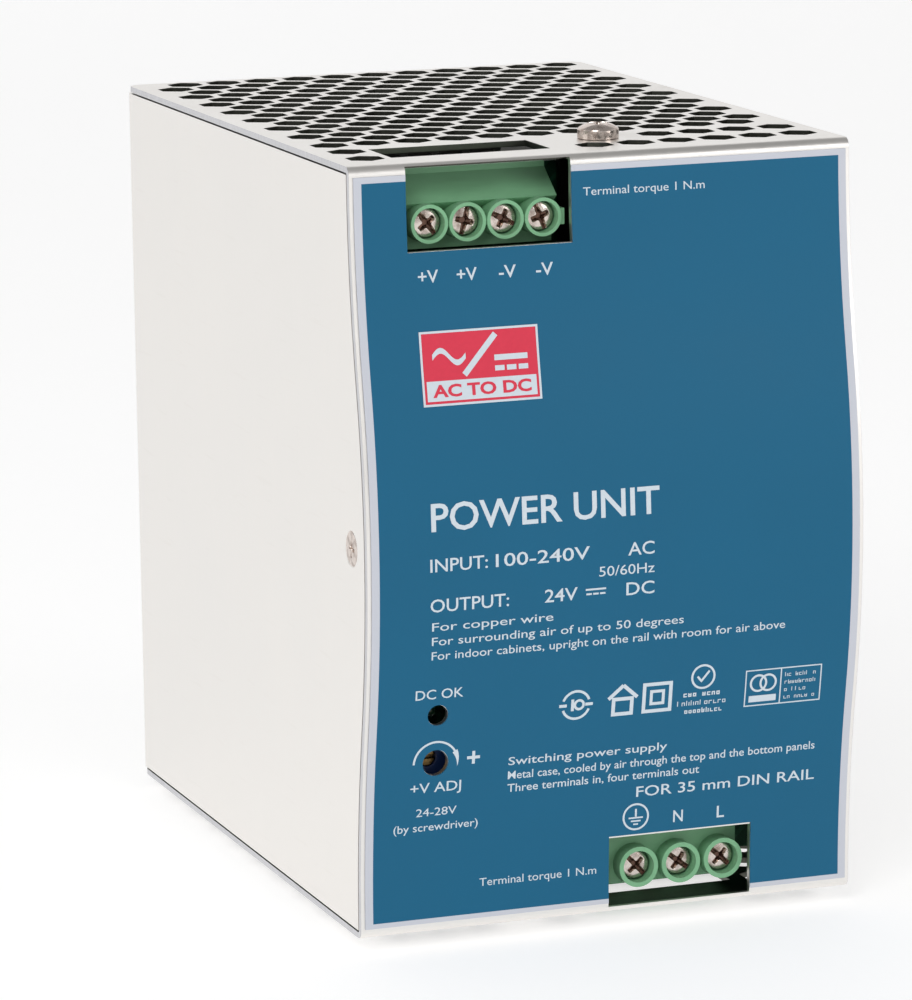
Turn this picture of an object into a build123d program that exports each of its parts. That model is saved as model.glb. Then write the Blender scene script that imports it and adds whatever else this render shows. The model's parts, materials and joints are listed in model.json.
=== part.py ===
"""DIN rail power supply: a sheet metal case with vents, terminal blocks, boards and a rail clip.

The shapes are drawn in case coordinates, in millimetres: x from the middle of the width,
y back from the flat edge of the front panel, z up from the bottom of the case.
save() moves them to the part's own frame, whose origin is on the seat of the rail clip,
in the middle of the rail, with the front of the case facing -Y.
"""

import os
from math import atan, cos, pi, sin, sqrt

from build123d import *

# ---------------------------------------------------------------- driving dimensions
WIDTH = 85.5
HEIGHT = 125.2
CASE_DEPTH = 122.6
BULGE = 5.9
SHEET = 1.0
SEAM = 0.3
BEND_RADIUS = 1.5
CONCAVE_RADIUS = 172.0
LABEL_THICKNESS = 0.2
GLUE_GAP = 0.05
RAIL_ABOVE_BOTTOM = 64.3
CLIP_PLATE = 2.0

VENT_PITCH = 7.1
VENT_ACROSS_FLATS = 5.75
VENT_ROW_PITCH = 6.03
VENT_EDGE = 5.95
VENT_FRONT_ROWS = (9.3, 18.3)
VENT_FIRST_ROW = 27.0
VENT_ROWS = 16
VENT_COLUMNS = 11

OUTPUT_PITCH = 6.4
OUTPUT_POLES = 4
OUTPUT_FIRST_X = -28.85
OUTPUT_SCREW_Z = 115.2
INPUT_PITCH = 7.45
INPUT_POLES = 3
INPUT_FIRST_X = 6.0
INPUT_SCREW_Z = 6.8
CLAMP_TRAVEL = 3.6
COVER_CORNER = 2.5

ADJUST_X = -30.5
ADJUST_Z = 28.75
LAMP_Z = 36.9
CASE_SCREW_Y = 17.0
SIDE_SCREW_Y = 1.7
SIDE_SCREW_Z = 64.0

# ---------------------------------------------------------------- derived places
HALF_WIDTH = WIDTH / 2
MIDDLE = HEIGHT / 2
CURVE_RUN = MIDDLE - BEND_RADIUS
CURVE_ANGLE = 2 * atan(BULGE / CURVE_RUN)
CONVEX_RADIUS = CURVE_RUN / sin(CURVE_ANGLE) - CONCAVE_RADIUS
INNER_FRONT = SHEET + SEAM
PANEL_INNER_X = HALF_WIDTH - SHEET
BOARD_FRONT = 20.5
BOARD = 1.6
MAIN_BOARD_X = 35.5
OUTPUT_SLOT = (-32.75, -5.75, 8.2, 19.7)
INPUT_SLOT = (0.0, 24.95, 8.2, 19.7)
OUTPUT_WINDOW = (-33.35, -5.55, 111.2, HEIGHT - 0.45)
INPUT_WINDOW = (0.0, 24.95, SHEET, 12.7)
TOP_SCREW_X = 5.85
BOTTOM_SCREW_X = -12.0


# ---------------------------------------------------------------- helpers
def save(name, *solids):
    """Write one node: one solid, or a group of separate ones."""
    to_rail = Pos(0, -CASE_DEPTH - CLIP_PLATE, -RAIL_ABOVE_BOTTOM)
    placed = [to_rail * piece for shape in solids for piece in shape.solids()]
    export_step(placed[0] if len(placed) == 1 else Compound(placed), f"parts/{name}.step")


def box(x0, x1, y0, y1, z0, z1):
    """Box between two corners."""
    centre = Pos((x0 + x1) / 2, (y0 + y1) / 2, (z0 + z1) / 2)
    return centre * Box(x1 - x0, y1 - y0, z1 - z0)


def rod_x(y, z, x0, x1, radius):
    """Cylinder along X."""
    return Pos((x0 + x1) / 2, y, z) * Rot(0, 90, 0) * Cylinder(radius, x1 - x0)


def rod_y(x, z, y0, y1, radius):
    """Cylinder along Y."""
    return Pos(x, (y0 + y1) / 2, z) * Rot(90, 0, 0) * Cylinder(radius, y1 - y0)


def rod_z(x, y, z0, z1, radius):
    """Cylinder along Z."""
    return Pos(x, y, (z0 + z1) / 2) * Cylinder(radius, z1 - z0)


def prism_x(points, x0, x1):
    """Polygon of (y, z) points carried from x0 to x1."""
    face = Plane.YZ * make_face(Polyline(*points, close=True))
    return Pos(x0, 0, 0) * extrude(face, amount=x1 - x0)


def hexagon_z(x, y, z0, z1, across_flats):
    """Hexagonal prism along Z with its flats facing X."""
    outline = RegularPolygon(across_flats / sqrt(3), 6, rotation=30)
    return Pos(x, y, z0) * extrude(outline, amount=z1 - z0)


def hexagon_x(y, z, x0, x1, across_flats):
    """Hexagonal prism along X."""
    face = Plane.YZ * RegularPolygon(across_flats / sqrt(3), 6)
    return Pos(x0, y, z) * extrude(face, amount=x1 - x0)


def ring_x(y, z, x0, x1, inner, outer):
    """Tube along X."""
    return rod_x(y, z, x0, x1, outer) - rod_x(y, z, x0 - 1, x1 + 1, inner)


def coil_around_ring(y, z, x0, x1, inner, outer, skin):
    """Winding around a ring core along X: a closed skin that leaves the core its room."""
    solid = ring_x(y, z, x0 - skin, x1 + skin, inner - skin, outer + skin)
    return solid - ring_x(y, z, x0 - 0.1, x1 + 0.1, inner - 0.1, outer + 0.1)


# ---------------------------------------------------------------- the curved front
def arc_point(centre_y, centre_z, radius, angle):
    """Point on a circle in the YZ plane, the angle measured up from +Y."""
    return (centre_y + radius * cos(angle), centre_z + radius * sin(angle))


def arc(centre_y, centre_z, radius, start, end):
    """Arc through three points of a circle in the YZ plane."""
    angles = (start, (start + end) / 2, end)
    return ThreePointArc(*[arc_point(centre_y, centre_z, radius, a) for a in angles])


def front_arcs(inset):
    """Edges of the front panel's curve, bottom to top, set back by inset."""
    hollow = CONCAVE_RADIUS + inset
    belly = CONVEX_RADIUS - inset
    turn = CURVE_ANGLE
    top = HEIGHT - BEND_RADIUS
    return [
        arc(-CONCAVE_RADIUS, BEND_RADIUS, hollow, 0, turn),
        arc(CONVEX_RADIUS - BULGE, MIDDLE, belly, pi + turn, pi - turn),
        arc(-CONCAVE_RADIUS, top, hollow, -turn, 0),
    ]


def wrap_edges(inset, back):
    """Edges along bottom, front and top of the wrap, set in by inset, open at the back."""
    radius = BEND_RADIUS - inset
    top = HEIGHT - BEND_RADIUS
    if radius > 0:
        start, end = BEND_RADIUS, BEND_RADIUS
        lower = [arc(BEND_RADIUS, BEND_RADIUS, radius, 3 * pi / 2, pi)]
        upper = [arc(BEND_RADIUS, top, radius, pi, pi / 2)]
    else:
        start, end = inset, inset
        lower = [Line((inset, inset), (inset, BEND_RADIUS))]
        upper = [Line((inset, top), (inset, HEIGHT - inset))]
    first = Line((back, inset), (start, inset))
    last = Line((end, HEIGHT - inset), (back, HEIGHT - inset))
    return [first, *lower, *front_arcs(inset), *upper, last]


def front_y(z, inset=0.0):
    """How far back the front panel's face is at height z, set back by inset."""
    rise = abs(z - MIDDLE)
    belly = CONVEX_RADIUS - inset
    if rise < CONVEX_RADIUS * sin(CURVE_ANGLE):
        return CONVEX_RADIUS - BULGE - sqrt(belly**2 - rise**2)
    hollow = CONCAVE_RADIUS + inset
    return sqrt(hollow**2 - (CURVE_RUN - rise) ** 2) - CONCAVE_RADIUS


# ---------------------------------------------------------------- sheet metal
def vent_centres(slot, screw_x):
    """Middles of the hexagonal vents, clear of the wire slot and the screw's pad."""
    even = [-HALF_WIDTH + VENT_EDGE + VENT_PITCH * i for i in range(VENT_COLUMNS)]
    odd = [x + VENT_PITCH / 2 for x in even]
    rows = [(y, odd + even[:1]) for y in VENT_FRONT_ROWS]
    for i in range(VENT_ROWS):
        rows.append((VENT_FIRST_ROW + VENT_ROW_PITCH * i, odd if i % 2 else even))
    margin = VENT_ACROSS_FLATS / 2 + 0.9
    for y, xs in rows:
        for x in xs:
            over_slot = slot[0] - margin < x < slot[1] + margin and y < slot[3] + margin
            over_screw = (x - screw_x) ** 2 + (y - CASE_SCREW_Y) ** 2 < 8.0**2
            on_odd = y < VENT_FIRST_ROW and x == even[0] and slot[0] - margin > odd[0]
            if not (over_slot or over_screw or on_odd):
                yield x, y


def vent_tools(slot, screw_x, z0, z1):
    """Cutting prisms of one perforated panel, its wire slot and screw hole."""
    tools = [hexagon_z(x, y, z0, z1, VENT_ACROSS_FLATS) for x, y in vent_centres(slot, screw_x)]
    tools.append(box(*slot, z0, z1))
    tools.append(rod_z(screw_x, CASE_SCREW_Y, z0, z1, 1.75))
    return tools


def make_cover():
    """Top, curved front and bottom in one sheet."""
    back = CASE_DEPTH - SHEET
    outer = wrap_edges(0, back)
    inner = wrap_edges(SHEET, back)
    ends = [Line((back, 0), (back, SHEET)), Line((back, HEIGHT - SHEET), (back, HEIGHT))]
    profile = Plane.YZ * make_face(outer + inner + ends)
    sheet = extrude(profile, amount=HALF_WIDTH, both=True)
    corners = sheet.edges().filter_by(Axis.Z).group_by(Axis.Y)[-1]
    sheet = fillet(corners, COVER_CORNER)
    tools = vent_tools(OUTPUT_SLOT, TOP_SCREW_X, HEIGHT - 3, HEIGHT + 1)
    tools += vent_tools(INPUT_SLOT, BOTTOM_SCREW_X, -1, 3)
    for x0, x1, z0, z1 in (OUTPUT_WINDOW, INPUT_WINDOW):
        tools.append(box(x0, x1, -2, 2.5, z0, z1))
    tools.append(rod_y(ADJUST_X, LAMP_Z, -8, 3, 1.7))
    tools.append(rod_y(ADJUST_X, ADJUST_Z, -8, 3, 2.15))
    return sheet.cut(*tools)


def make_label():
    """Printed sheet glued to the curved front."""
    z0, z1 = 1.7, HEIGHT - 1.7
    face = Plane.YZ * make_face(
        front_arcs(-GLUE_GAP - LABEL_THICKNESS)
        + front_arcs(-GLUE_GAP)
        + [
            Line((-GLUE_GAP - LABEL_THICKNESS, BEND_RADIUS), (-GLUE_GAP, BEND_RADIUS)),
            Line(
                (-GLUE_GAP - LABEL_THICKNESS, HEIGHT - BEND_RADIUS),
                (-GLUE_GAP, HEIGHT - BEND_RADIUS),
            ),
        ]
    )
    label = extrude(face, amount=HALF_WIDTH - 0.7, both=True)
    label &= box(-HALF_WIDTH, HALF_WIDTH, -BULGE - 2, 2, z0, z1)
    for x0, x1, z0, z1 in (OUTPUT_WINDOW, INPUT_WINDOW):
        label -= box(x0 - 0.05, x1 + 0.05, -3, 2, z0 - 1 if z0 < 20 else z0 - 0.05, z1 + 0.3)
    label -= rod_y(ADJUST_X, LAMP_Z, -9, 3, 1.75)
    label -= rod_y(ADJUST_X, ADJUST_Z, -9, 3, 2.2)
    return label


def countersunk_screw(side):
    """Countersunk case screw, its head in the side panel that faces side * X."""
    head = Pos(side * (HALF_WIDTH - 0.7), SIDE_SCREW_Y, SIDE_SCREW_Z)
    head = head * Rot(0, side * 90, 0) * Cone(1.5, 2.9, 1.4)
    ends = sorted((side * (HALF_WIDTH - 1.0), side * (HALF_WIDTH - 6.5)))
    shank = rod_x(SIDE_SCREW_Y, SIDE_SCREW_Z, *ends, 1.45)
    return head + shank


def cross_recess_x(side):
    """Cross recess cut in the head of a side screw."""
    x0, x1 = sorted((side * (HALF_WIDTH - 1.1), side * (HALF_WIDTH + 1)))
    y, z = SIDE_SCREW_Y, SIDE_SCREW_Z
    return box(x0, x1, y - 1.6, y + 1.6, z - 0.35, z + 0.35) + box(
        x0, x1, y - 0.35, y + 0.35, z - 1.6, z + 1.6
    )


def make_chassis():
    """Left side, back and right side in one sheet, its front edges following the curve."""
    shell = box(-HALF_WIDTH, HALF_WIDTH, -BULGE, CASE_DEPTH, 0, HEIGHT)
    shell = fillet(shell.edges().filter_by(Axis.Z).group_by(Axis.Y)[-1], 2.5)
    hollow = box(-PANEL_INNER_X, PANEL_INNER_X, -BULGE - 1, CASE_DEPTH - SHEET, 0, HEIGHT)
    hollow = fillet(hollow.edges().filter_by(Axis.Z).group_by(Axis.Y)[-1], 1.5)
    wraps = wrap_edges(INNER_FRONT, CASE_DEPTH + 1)
    closing = Line((CASE_DEPTH + 1, INNER_FRONT), (CASE_DEPTH + 1, HEIGHT - INNER_FRONT))
    inside = Plane.YZ * make_face([*wraps, closing])
    sheet = (shell - hollow) & extrude(inside, amount=HALF_WIDTH + 1, both=True)
    for side in (-1, 1):
        cone = Pos(side * (HALF_WIDTH - 0.7), SIDE_SCREW_Y, SIDE_SCREW_Z)
        sheet -= cone * Rot(0, side * 90, 0) * Cone(1.6, 3.0, 1.4)
        ends = sorted((side * (HALF_WIDTH - 2), side * (HALF_WIDTH + 1)))
        sheet -= rod_x(SIDE_SCREW_Y, SIDE_SCREW_Z, *ends, 2.0)
    for x, z in CLIP_RIVETS:
        sheet -= rod_y(x, z, CASE_DEPTH - 2, CASE_DEPTH + 1, RIVET_RADIUS + 0.05)
    return sheet


def make_front_ear(side):
    """Angle welded behind the front panel, tapped for the side screw."""
    z0, z1 = SIDE_SCREW_Z - 8, SIDE_SCREW_Z + 8
    outer = PANEL_INNER_X - 0.1
    x0, x1 = sorted((side * (outer - 1.5), side * outer))
    ear = box(x0, x1, -4.5, 7, z0, z1)
    x0, x1 = sorted((side * (outer - 11), side * outer))
    ear += box(x0, x1, -4.5, -3.0, z0, z1)
    x0, x1 = sorted((side * (outer - 3), side * (outer + 1)))
    ear -= rod_x(SIDE_SCREW_Y, SIDE_SCREW_Z, x0, x1, 1.5)
    cone = Pos(side * (HALF_WIDTH - 0.7), SIDE_SCREW_Y, SIDE_SCREW_Z)
    return ear - cone * Rot(0, side * 90, 0) * Cone(1.6, 3.0, 1.4)


def pan_screw_z(x, y, face, out):
    """Pan head screw along Z: its head on a face that looks along out * Z."""
    near, far = sorted((face + out * 0.05, face + out * 2.8))
    head = rod_z(x, y, near, far, 3.6)
    rim = head.edges().filter_by(GeomType.CIRCLE).sort_by(Axis.Z)
    head = fillet(rim[-1] if out > 0 else rim[0], 1.9)
    ends = sorted((face + out * 0.2, face - out * 6.0))
    screw = head + rod_z(x, y, *ends, 1.45)
    near, far = sorted((face + out * 1.4, face + out * 3))
    screw -= box(x - 1.9, x + 1.9, y - 0.4, y + 0.4, near, far)
    return screw - box(x - 0.4, x + 0.4, y - 1.9, y + 1.9, near, far)


def make_board_bracket(x, out):
    """Angle under the top (out=1) or over the bottom (out=-1) that holds the front board."""
    edge = HEIGHT - SHEET - 0.15 if out > 0 else SHEET + 0.15
    flange = box(x - 6, x + 6, 11, BOARD_FRONT - 0.1, *sorted((edge, edge - out * 1.5)))
    web = box(x - 6, x + 6, BOARD_FRONT - 1.6, BOARD_FRONT - 0.1, *sorted((edge, edge - out * 24)))
    bracket = flange + web
    bracket -= rod_z(x, CASE_SCREW_Y, *sorted((edge + out, edge - out * 4)), 1.5)
    for drop in (11, 19):
        bracket -= rod_y(x, edge - out * drop, BOARD_FRONT - 3, BOARD_FRONT + 1, 1.5)
    return bracket


# ---------------------------------------------------------------- terminal blocks
RIM_Y = 1.5
HEAD_FRONT = 2.9
HEAD_BACK = 4.4
SHOULDER_BACK = 5.4
CLAMP_FRONT = 10.4
CAVITY_FRONT = CLAMP_FRONT - CLAMP_TRAVEL - 0.2
CLAMP_BACK = 18.9
BAR_FRONT = 12.3
BLOCK_BACK = 20.3


class Terminal:
    """Sizes of one row of screw clamps; entry is +1 when the wires enter from above."""

    def __init__(self, first_x, pitch, poles, screw_z, entry, barrel, bore, head, shank, clamp):
        self.xs = [first_x + pitch * i for i in range(poles)]
        self.z = screw_z
        self.entry = entry
        self.barrel = barrel
        self.bore = bore
        self.head = head
        self.shank = shank
        self.clamp_half = clamp[0]
        self.clamp_wall = clamp[1]
        self.clamp_reach = clamp[2]

    def span_z(self, near, far):
        """Heights near and far from the screw's axis, counted towards the wire entry."""
        return sorted((self.z + self.entry * near, self.z + self.entry * far))


OUTPUT = Terminal(
    OUTPUT_FIRST_X, OUTPUT_PITCH, OUTPUT_POLES, OUTPUT_SCREW_Z, 1, 3.12, 2.55, 2.3, 1.2,
    (2.6, 0.45, 2.5),
)
INPUT = Terminal(
    INPUT_FIRST_X, INPUT_PITCH, INPUT_POLES, INPUT_SCREW_Z, -1, 3.4, 2.65, 2.3, 1.45,
    (3.0, 0.6, 2.7),
)


def terminal_cavities(row, entry_end):
    """Room for the screw, the rising clamp, its bar and the wire, in every pole."""
    tools = []
    for x in row.xs:
        half = row.clamp_half + 0.1
        reach = row.clamp_reach + 0.15
        tools.append(rod_y(x, row.z, RIM_Y - 1, HEAD_BACK + 0.2, row.bore))
        tools.append(rod_y(x, row.z, HEAD_BACK, CAVITY_FRONT + 1, row.shank + 0.3))
        tools.append(box(x - half, x + half, CAVITY_FRONT, 19.1, *row.span_z(-reach, reach)))
        wire = row.clamp_half - row.clamp_wall
        throat = row.span_z(0, abs(entry_end - row.z) + 1)
        tools.append(box(x - wire, x + wire, BAR_FRONT + 0.9, 18.0, *throat))
        tools.append(box(x - 1.95, x + 1.95, BAR_FRONT - 0.05, 19.2, *row.span_z(-3.75, -2.5)))
        tools.append(box(x - 0.55, x + 0.55, 19, BLOCK_BACK + 1, *row.span_z(-3.75, -2.95)))
    return tools


def make_output_block():
    """Tall green block: barrels low at the front, a sloped roof, wires from above."""
    x0 = OUTPUT.xs[0] - 3.25
    x1 = OUTPUT.xs[-1] + 3.05
    outline = [
        (6.0, 110.7), (6.0, 116.5), (3.4, 118.3), (9.0, 122.3),
        (9.0, 123.2), (BLOCK_BACK, 123.2), (BLOCK_BACK, 110.7),
    ]
    body = prism_x(outline, x0, x1)
    for x in OUTPUT.xs:
        body += rod_y(x, OUTPUT.z, RIM_Y, 7, OUTPUT.barrel)
    body += box(x0 + 1, x1, RIM_Y + 0.4, 6.5, OUTPUT.z - 0.6, OUTPUT.z + 0.6)
    body += box(x1 - 1, x1 + 0.7, RIM_Y + 0.4, 8.0, OUTPUT.z - 1.4, OUTPUT.z + 1.2)
    funnels = [
        loft_funnel(x, OUTPUT.clamp_half - OUTPUT.clamp_wall, 120.5, 123.3) for x in OUTPUT.xs
    ]
    return body.cut(*terminal_cavities(OUTPUT, 123.2), *funnels)


def loft_funnel(x, half, z_low, z_high):
    """Funnel that guides a wire down into one pole."""
    low = Pos(x, 15.6, z_low) * Rectangle(2 * half, 4.8)
    high = Pos(x, 14.5, z_high) * Rectangle(2 * half + 1.2, 8.6)
    return loft([low, high])


def make_input_block():
    """Lower green block: a flat face with proud barrels, wires from below."""
    x0 = INPUT.xs[0] - 4.2
    x1 = INPUT.xs[-1] + 3.4
    body = box(x0, x1, 4.5, BLOCK_BACK, 3.5, 14.5)
    for x in INPUT.xs:
        body += rod_y(x, INPUT.z, RIM_Y, 7, INPUT.barrel)
    return body.cut(*terminal_cavities(INPUT, 3.5))


def make_terminal_screw(row, x):
    """Captive clamp screw with a combined slot and cross recess."""
    screw = rod_y(x, row.z, HEAD_FRONT, HEAD_BACK, row.head)
    screw += rod_y(x, row.z, HEAD_BACK - 0.1, 12.05, row.shank)
    reach = row.head + 1
    screw -= box(x - reach, x + reach, HEAD_FRONT - 1, HEAD_FRONT + 0.7, row.z - 0.3, row.z + 0.3)
    return screw - box(
        x - 0.3, x + 0.3, HEAD_FRONT - 1, HEAD_FRONT + 0.9, row.z - 1.3, row.z + 1.3
    )


def make_clamp(row, x):
    """Rising clamp: a square loop, its front wall tapped for the screw."""
    half, wall, reach = row.clamp_half, row.clamp_wall, row.clamp_reach
    loop = box(x - half, x + half, CLAMP_FRONT, CLAMP_BACK, row.z - reach, row.z + reach)
    loop -= box(
        x - half + wall, x + half - wall, CLAMP_FRONT + 1.5, CLAMP_BACK - 1.0,
        row.z - reach - 1, row.z + reach + 1,
    )
    return loop - rod_y(x, row.z, CLAMP_FRONT - 1, CLAMP_FRONT + 2, row.shank + 0.05)


def make_contact(row, x):
    """Current bar between clamp and wire, bent back into a solder pin."""
    bar = box(x - 1.9, x + 1.9, BAR_FRONT, BAR_FRONT + 0.8, *row.span_z(-3.7, 2.3))
    foot = box(x - 1.9, x + 1.9, BAR_FRONT, 19.0, *row.span_z(-3.7, -3.0))
    pin = box(x - 0.5, x + 0.5, 18.5, BOARD_FRONT + BOARD + 1.4, *row.span_z(-3.7, -3.0))
    return bar + foot + pin


# ---------------------------------------------------------------- boards
MAIN_HOLES = [(30, 12), (30, 112), (112, 8), (112, 117)]


def make_front_board():
    """Upright board that carries both terminal blocks."""
    board = box(-38, 34.5, BOARD_FRONT, BOARD_FRONT + BOARD, 3, HEIGHT - 3.7)
    tools = []
    for row in (OUTPUT, INPUT):
        for x in row.xs:
            tools.append(rod_y(x, row.z - row.entry * 3.35, 19, 24, 0.75))
    for x, z in BRACKET_HOLES:
        tools.append(rod_y(x, z, 19, 24, 1.7))
    return board.cut(*tools)


def make_main_board():
    """Large board along the right side, parts facing left."""
    board = box(MAIN_BOARD_X, MAIN_BOARD_X + BOARD, 22.6, 118, 3, HEIGHT - 3.7)
    return board.cut(*[rod_x(y, z, 30, 40, 1.7) for y, z in MAIN_HOLES])


def make_insulation():
    """Thin sheet between the main board and the case."""
    sheet = box(39.0, 39.3, 12, 119.5, 2.5, HEIGHT - 2.5)
    return sheet.cut(*[rod_x(y, z, 36, 41, 3.6) for y, z in MAIN_HOLES])


def make_standoff(y, z):
    """Hexagonal spacer from the side panel to the main board."""
    post = hexagon_x(y, z, MAIN_BOARD_X + BOARD + 0.05, PANEL_INNER_X - 0.02, 5.5)
    return post - rod_x(y, z, 30, PANEL_INNER_X - 0.5, 1.5)


def make_board_screw_x(y, z):
    """Pan screw that holds the main board to a spacer."""
    face = MAIN_BOARD_X - 0.05
    screw = rod_x(y, z, face - 2.2, face, 2.75) + rod_x(y, z, face - 0.1, face + 5.0, 1.45)
    return screw - box(face - 3, face - 1.2, y - 1.5, y + 1.5, z - 0.3, z + 0.3)


def make_board_screw_y(x, z):
    """Pan screw that holds the front board to its bracket."""
    face = BOARD_FRONT + BOARD + 0.05
    screw = rod_y(x, z, face, face + 2.2, 2.75) + rod_y(x, z, face - 4.6, face + 0.1, 1.45)
    return screw - box(x - 1.5, x + 1.5, face + 1.2, face + 3, z - 0.3, z + 0.3)


BRACKET_HOLES = [
    (TOP_SCREW_X, HEIGHT - SHEET - 0.15 - 11),
    (TOP_SCREW_X, HEIGHT - SHEET - 0.15 - 19),
    (BOTTOM_SCREW_X, SHEET + 0.15 + 11),
    (BOTTOM_SCREW_X, SHEET + 0.15 + 19),
]

# ---------------------------------------------------------------- rail clip
# Heights here are measured from the middle of the rail, depths from the seat.
CLIP_RIVETS = [(x, RAIL_ABOVE_BOTTOM + z) for x in (-16.8, 16.8) for z in (24.0, -50.0)]
RIVET_RADIUS = 1.6
SEAT = CASE_DEPTH + CLIP_PLATE
RAIL_HALF = 17.5
PAD = 0.3
PAD_HALF = 14.0
SPRING_LOW = RAIL_ABOVE_BOTTOM - 40.0
SPRING_HIGH = RAIL_ABOVE_BOTTOM - 27.0


def make_clip():
    """Plate with a raised pad behind the rail, a fixed hook for its top edge and two guides."""
    mid = RAIL_ABOVE_BOTTOM
    plate = box(-20, 20, CASE_DEPTH + 0.05, SEAT - PAD, mid - 54, mid + 28)
    plate += box(-20, 20, SEAT - 0.5, SEAT, mid - PAD_HALF, mid + PAD_HALF)
    hook = [
        (SEAT - 0.5, mid + RAIL_HALF + 0.3),
        (SEAT + 1.7, mid + RAIL_HALF + 0.3),
        (SEAT + 1.7, mid + RAIL_HALF - 2.6),
        (SEAT + 2.2, mid + RAIL_HALF - 3.0),
        (SEAT + 3.9, mid + RAIL_HALF - 2.0),
        (SEAT + 3.9, mid + RAIL_HALF + 2.4),
        (SEAT - 0.5, mid + RAIL_HALF + 2.4),
    ]
    clip = plate + prism_x(hook, -16, 16)
    for side in (-1, 1):
        x0, x1 = sorted((side * 12.1, side * 15.5))
        clip += box(x0, x1, SEAT - 0.5, SEAT + 5.6, mid - 46, mid - 22)
        x0, x1 = sorted((side * 9.5, side * 15.5))
        clip += box(x0, x1, SEAT + 4.2, SEAT + 5.6, mid - 46, mid - 22)
    clip += box(-3, 3, SEAT - 0.5, SEAT + 3.8, SPRING_LOW - 1.8, SPRING_LOW - 0.05)
    for x, z in CLIP_RIVETS:
        clip -= rod_y(x, z, CASE_DEPTH - 1, SEAT + 1, RIVET_RADIUS + 0.05)
    return clip


def make_latch():
    """Sliding latch: a jaw behind the rail's lower edge, a spring window and a pull tab."""
    mid = RAIL_ABOVE_BOTTOM
    profile = [
        (SEAT + 0.15, mid - RAIL_HALF - 0.5),
        (SEAT + 1.5, mid - RAIL_HALF - 0.5),
        (SEAT + 1.5, mid - RAIL_HALF + 2.3),
        (SEAT + 2.1, mid - RAIL_HALF + 2.3),
        (SEAT + 4.0, mid - RAIL_HALF + 0.4),
        (SEAT + 4.0, mid - 60.0),
        (SEAT + 0.15, mid - 60.0),
    ]
    latch = prism_x(profile, -12, 12)
    shoulder = box(-13, -7.5, SEAT, SEAT + 5, mid - 61, mid - 47)
    latch -= shoulder
    latch -= mirror(shoulder, Plane.YZ)
    latch -= box(-3.4, 3.4, SEAT, SEAT + 5, SPRING_LOW - 2.1, SPRING_HIGH + 0.05)
    return latch - box(-3.5, 3.5, SEAT, SEAT + 5, mid - 57.5, mid - 54.5)


def make_spring():
    """Compression spring in the latch's window, ground flat at both ends."""
    length = SPRING_HIGH - SPRING_LOW - 0.1
    wire = 0.3
    rise = length - 2 * wire - 0.1
    path = Helix(pitch=rise / 6, height=rise, radius=1.35)
    section = Plane(path @ 0, z_dir=path % 0) * Circle(wire)
    coil = sweep(section, path=path, is_frenet=True)
    end = Cylinder(1.7, 0.5) - Cylinder(1.0, 1.0)
    ends = Pos(0, 0, 0.25 - wire) * end + Pos(0, 0, rise + wire - 0.25) * end
    return Pos(0, SEAT + 2.1, SPRING_LOW + 0.05 + wire) * (coil + ends)


def make_rivet(x, z):
    """Rivet that holds the clip's plate to the back of the chassis."""
    shank = rod_y(x, z, CASE_DEPTH - SHEET - 0.06, SEAT - PAD + 0.06, RIVET_RADIUS)
    inner = rod_y(x, z, CASE_DEPTH - SHEET - 1.0, CASE_DEPTH - SHEET - 0.05, 2.8)
    outer = rod_y(x, z, SEAT - PAD + 0.05, SEAT + 0.8, 2.8)
    return shank + inner + outer


# ---------------------------------------------------------------- circuit parts
def on_board(height):
    """X range of a part that stands height above the main board."""
    return MAIN_BOARD_X - 0.1 - height, MAIN_BOARD_X - 0.1


def make_can(y, z, radius, height):
    """Electrolytic capacitor lying along X with a rolled groove near its foot."""
    x0, x1 = on_board(height)
    can = rod_x(y, z, x0, x1, radius)
    can = fillet(can.edges().filter_by(GeomType.CIRCLE).sort_by(Axis.X)[0], 0.6)
    return can - ring_x(y, z, x1 - 4.2, x1 - 3.0, radius - 0.5, radius + 1)


def make_transformer_core(y, z):
    """Ferrite pair: centre leg inside the coil, outer legs along Z."""
    x0, x1 = on_board(38)
    core = box(x0, x1, y - 8, y + 8, z - 21, z + 21)
    core -= box(x0 + 7, x1 - 7, y - 9, y + 9, z - 16.7, z - 8)
    return core - box(x0 + 7, x1 - 7, y - 9, y + 9, z + 8, z + 16.7)


def make_transformer_coil(y, z):
    """Wound coil around the centre leg, between the bobbin's cheeks."""
    x0, x1 = on_board(38)
    coil = box(x0 + 8.6, x1 - 8.6, y - 15.5, y + 15.5, z - 15.5, z + 15.5)
    coil = fillet(coil.edges().filter_by(Axis.X), 5)
    return coil - box(x0, x1, y - 9.4, y + 9.4, z - 9.4, z + 9.4)


def make_transformer_bobbin(y, z):
    """Bobbin: a square sleeve with two cheeks."""
    x0, x1 = on_board(38)
    sleeve = box(x0 + 7.2, x1 - 7.2, y - 9.3, y + 9.3, z - 9.3, z + 9.3)
    for face in (x0 + 7.2, x1 - 8.4):
        sleeve += box(face, face + 1.2, y - 16, y + 16, z - 16.5, z + 16.5)
    sleeve -= box(x0, x1, y - 8.15, y + 8.15, z - 8.15, z + 8.15)
    return sleeve


def make_ring_choke(y, z, inner, outer, thick, skin):
    """Ring core and its winding, lying flat on the main board."""
    x1 = MAIN_BOARD_X - 0.3 - skin
    core = ring_x(y, z, x1 - thick, x1, inner, outer)
    winding = coil_around_ring(y, z, x1 - thick, x1, inner, outer, skin)
    return core, winding


def make_heat_sink(y0, y1, z, height):
    """Flat aluminium plate standing on the board with a foot and short fins."""
    x0, x1 = on_board(height)
    plate = box(x0, x1, y0, y1, z - 1.5, z + 1.5)
    for i in range(5):
        fin = x0 + 3 + 5.5 * i
        plate += box(fin, fin + 1.4, y0, y1, z + 1.4, z + 6.0)
    return plate


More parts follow.
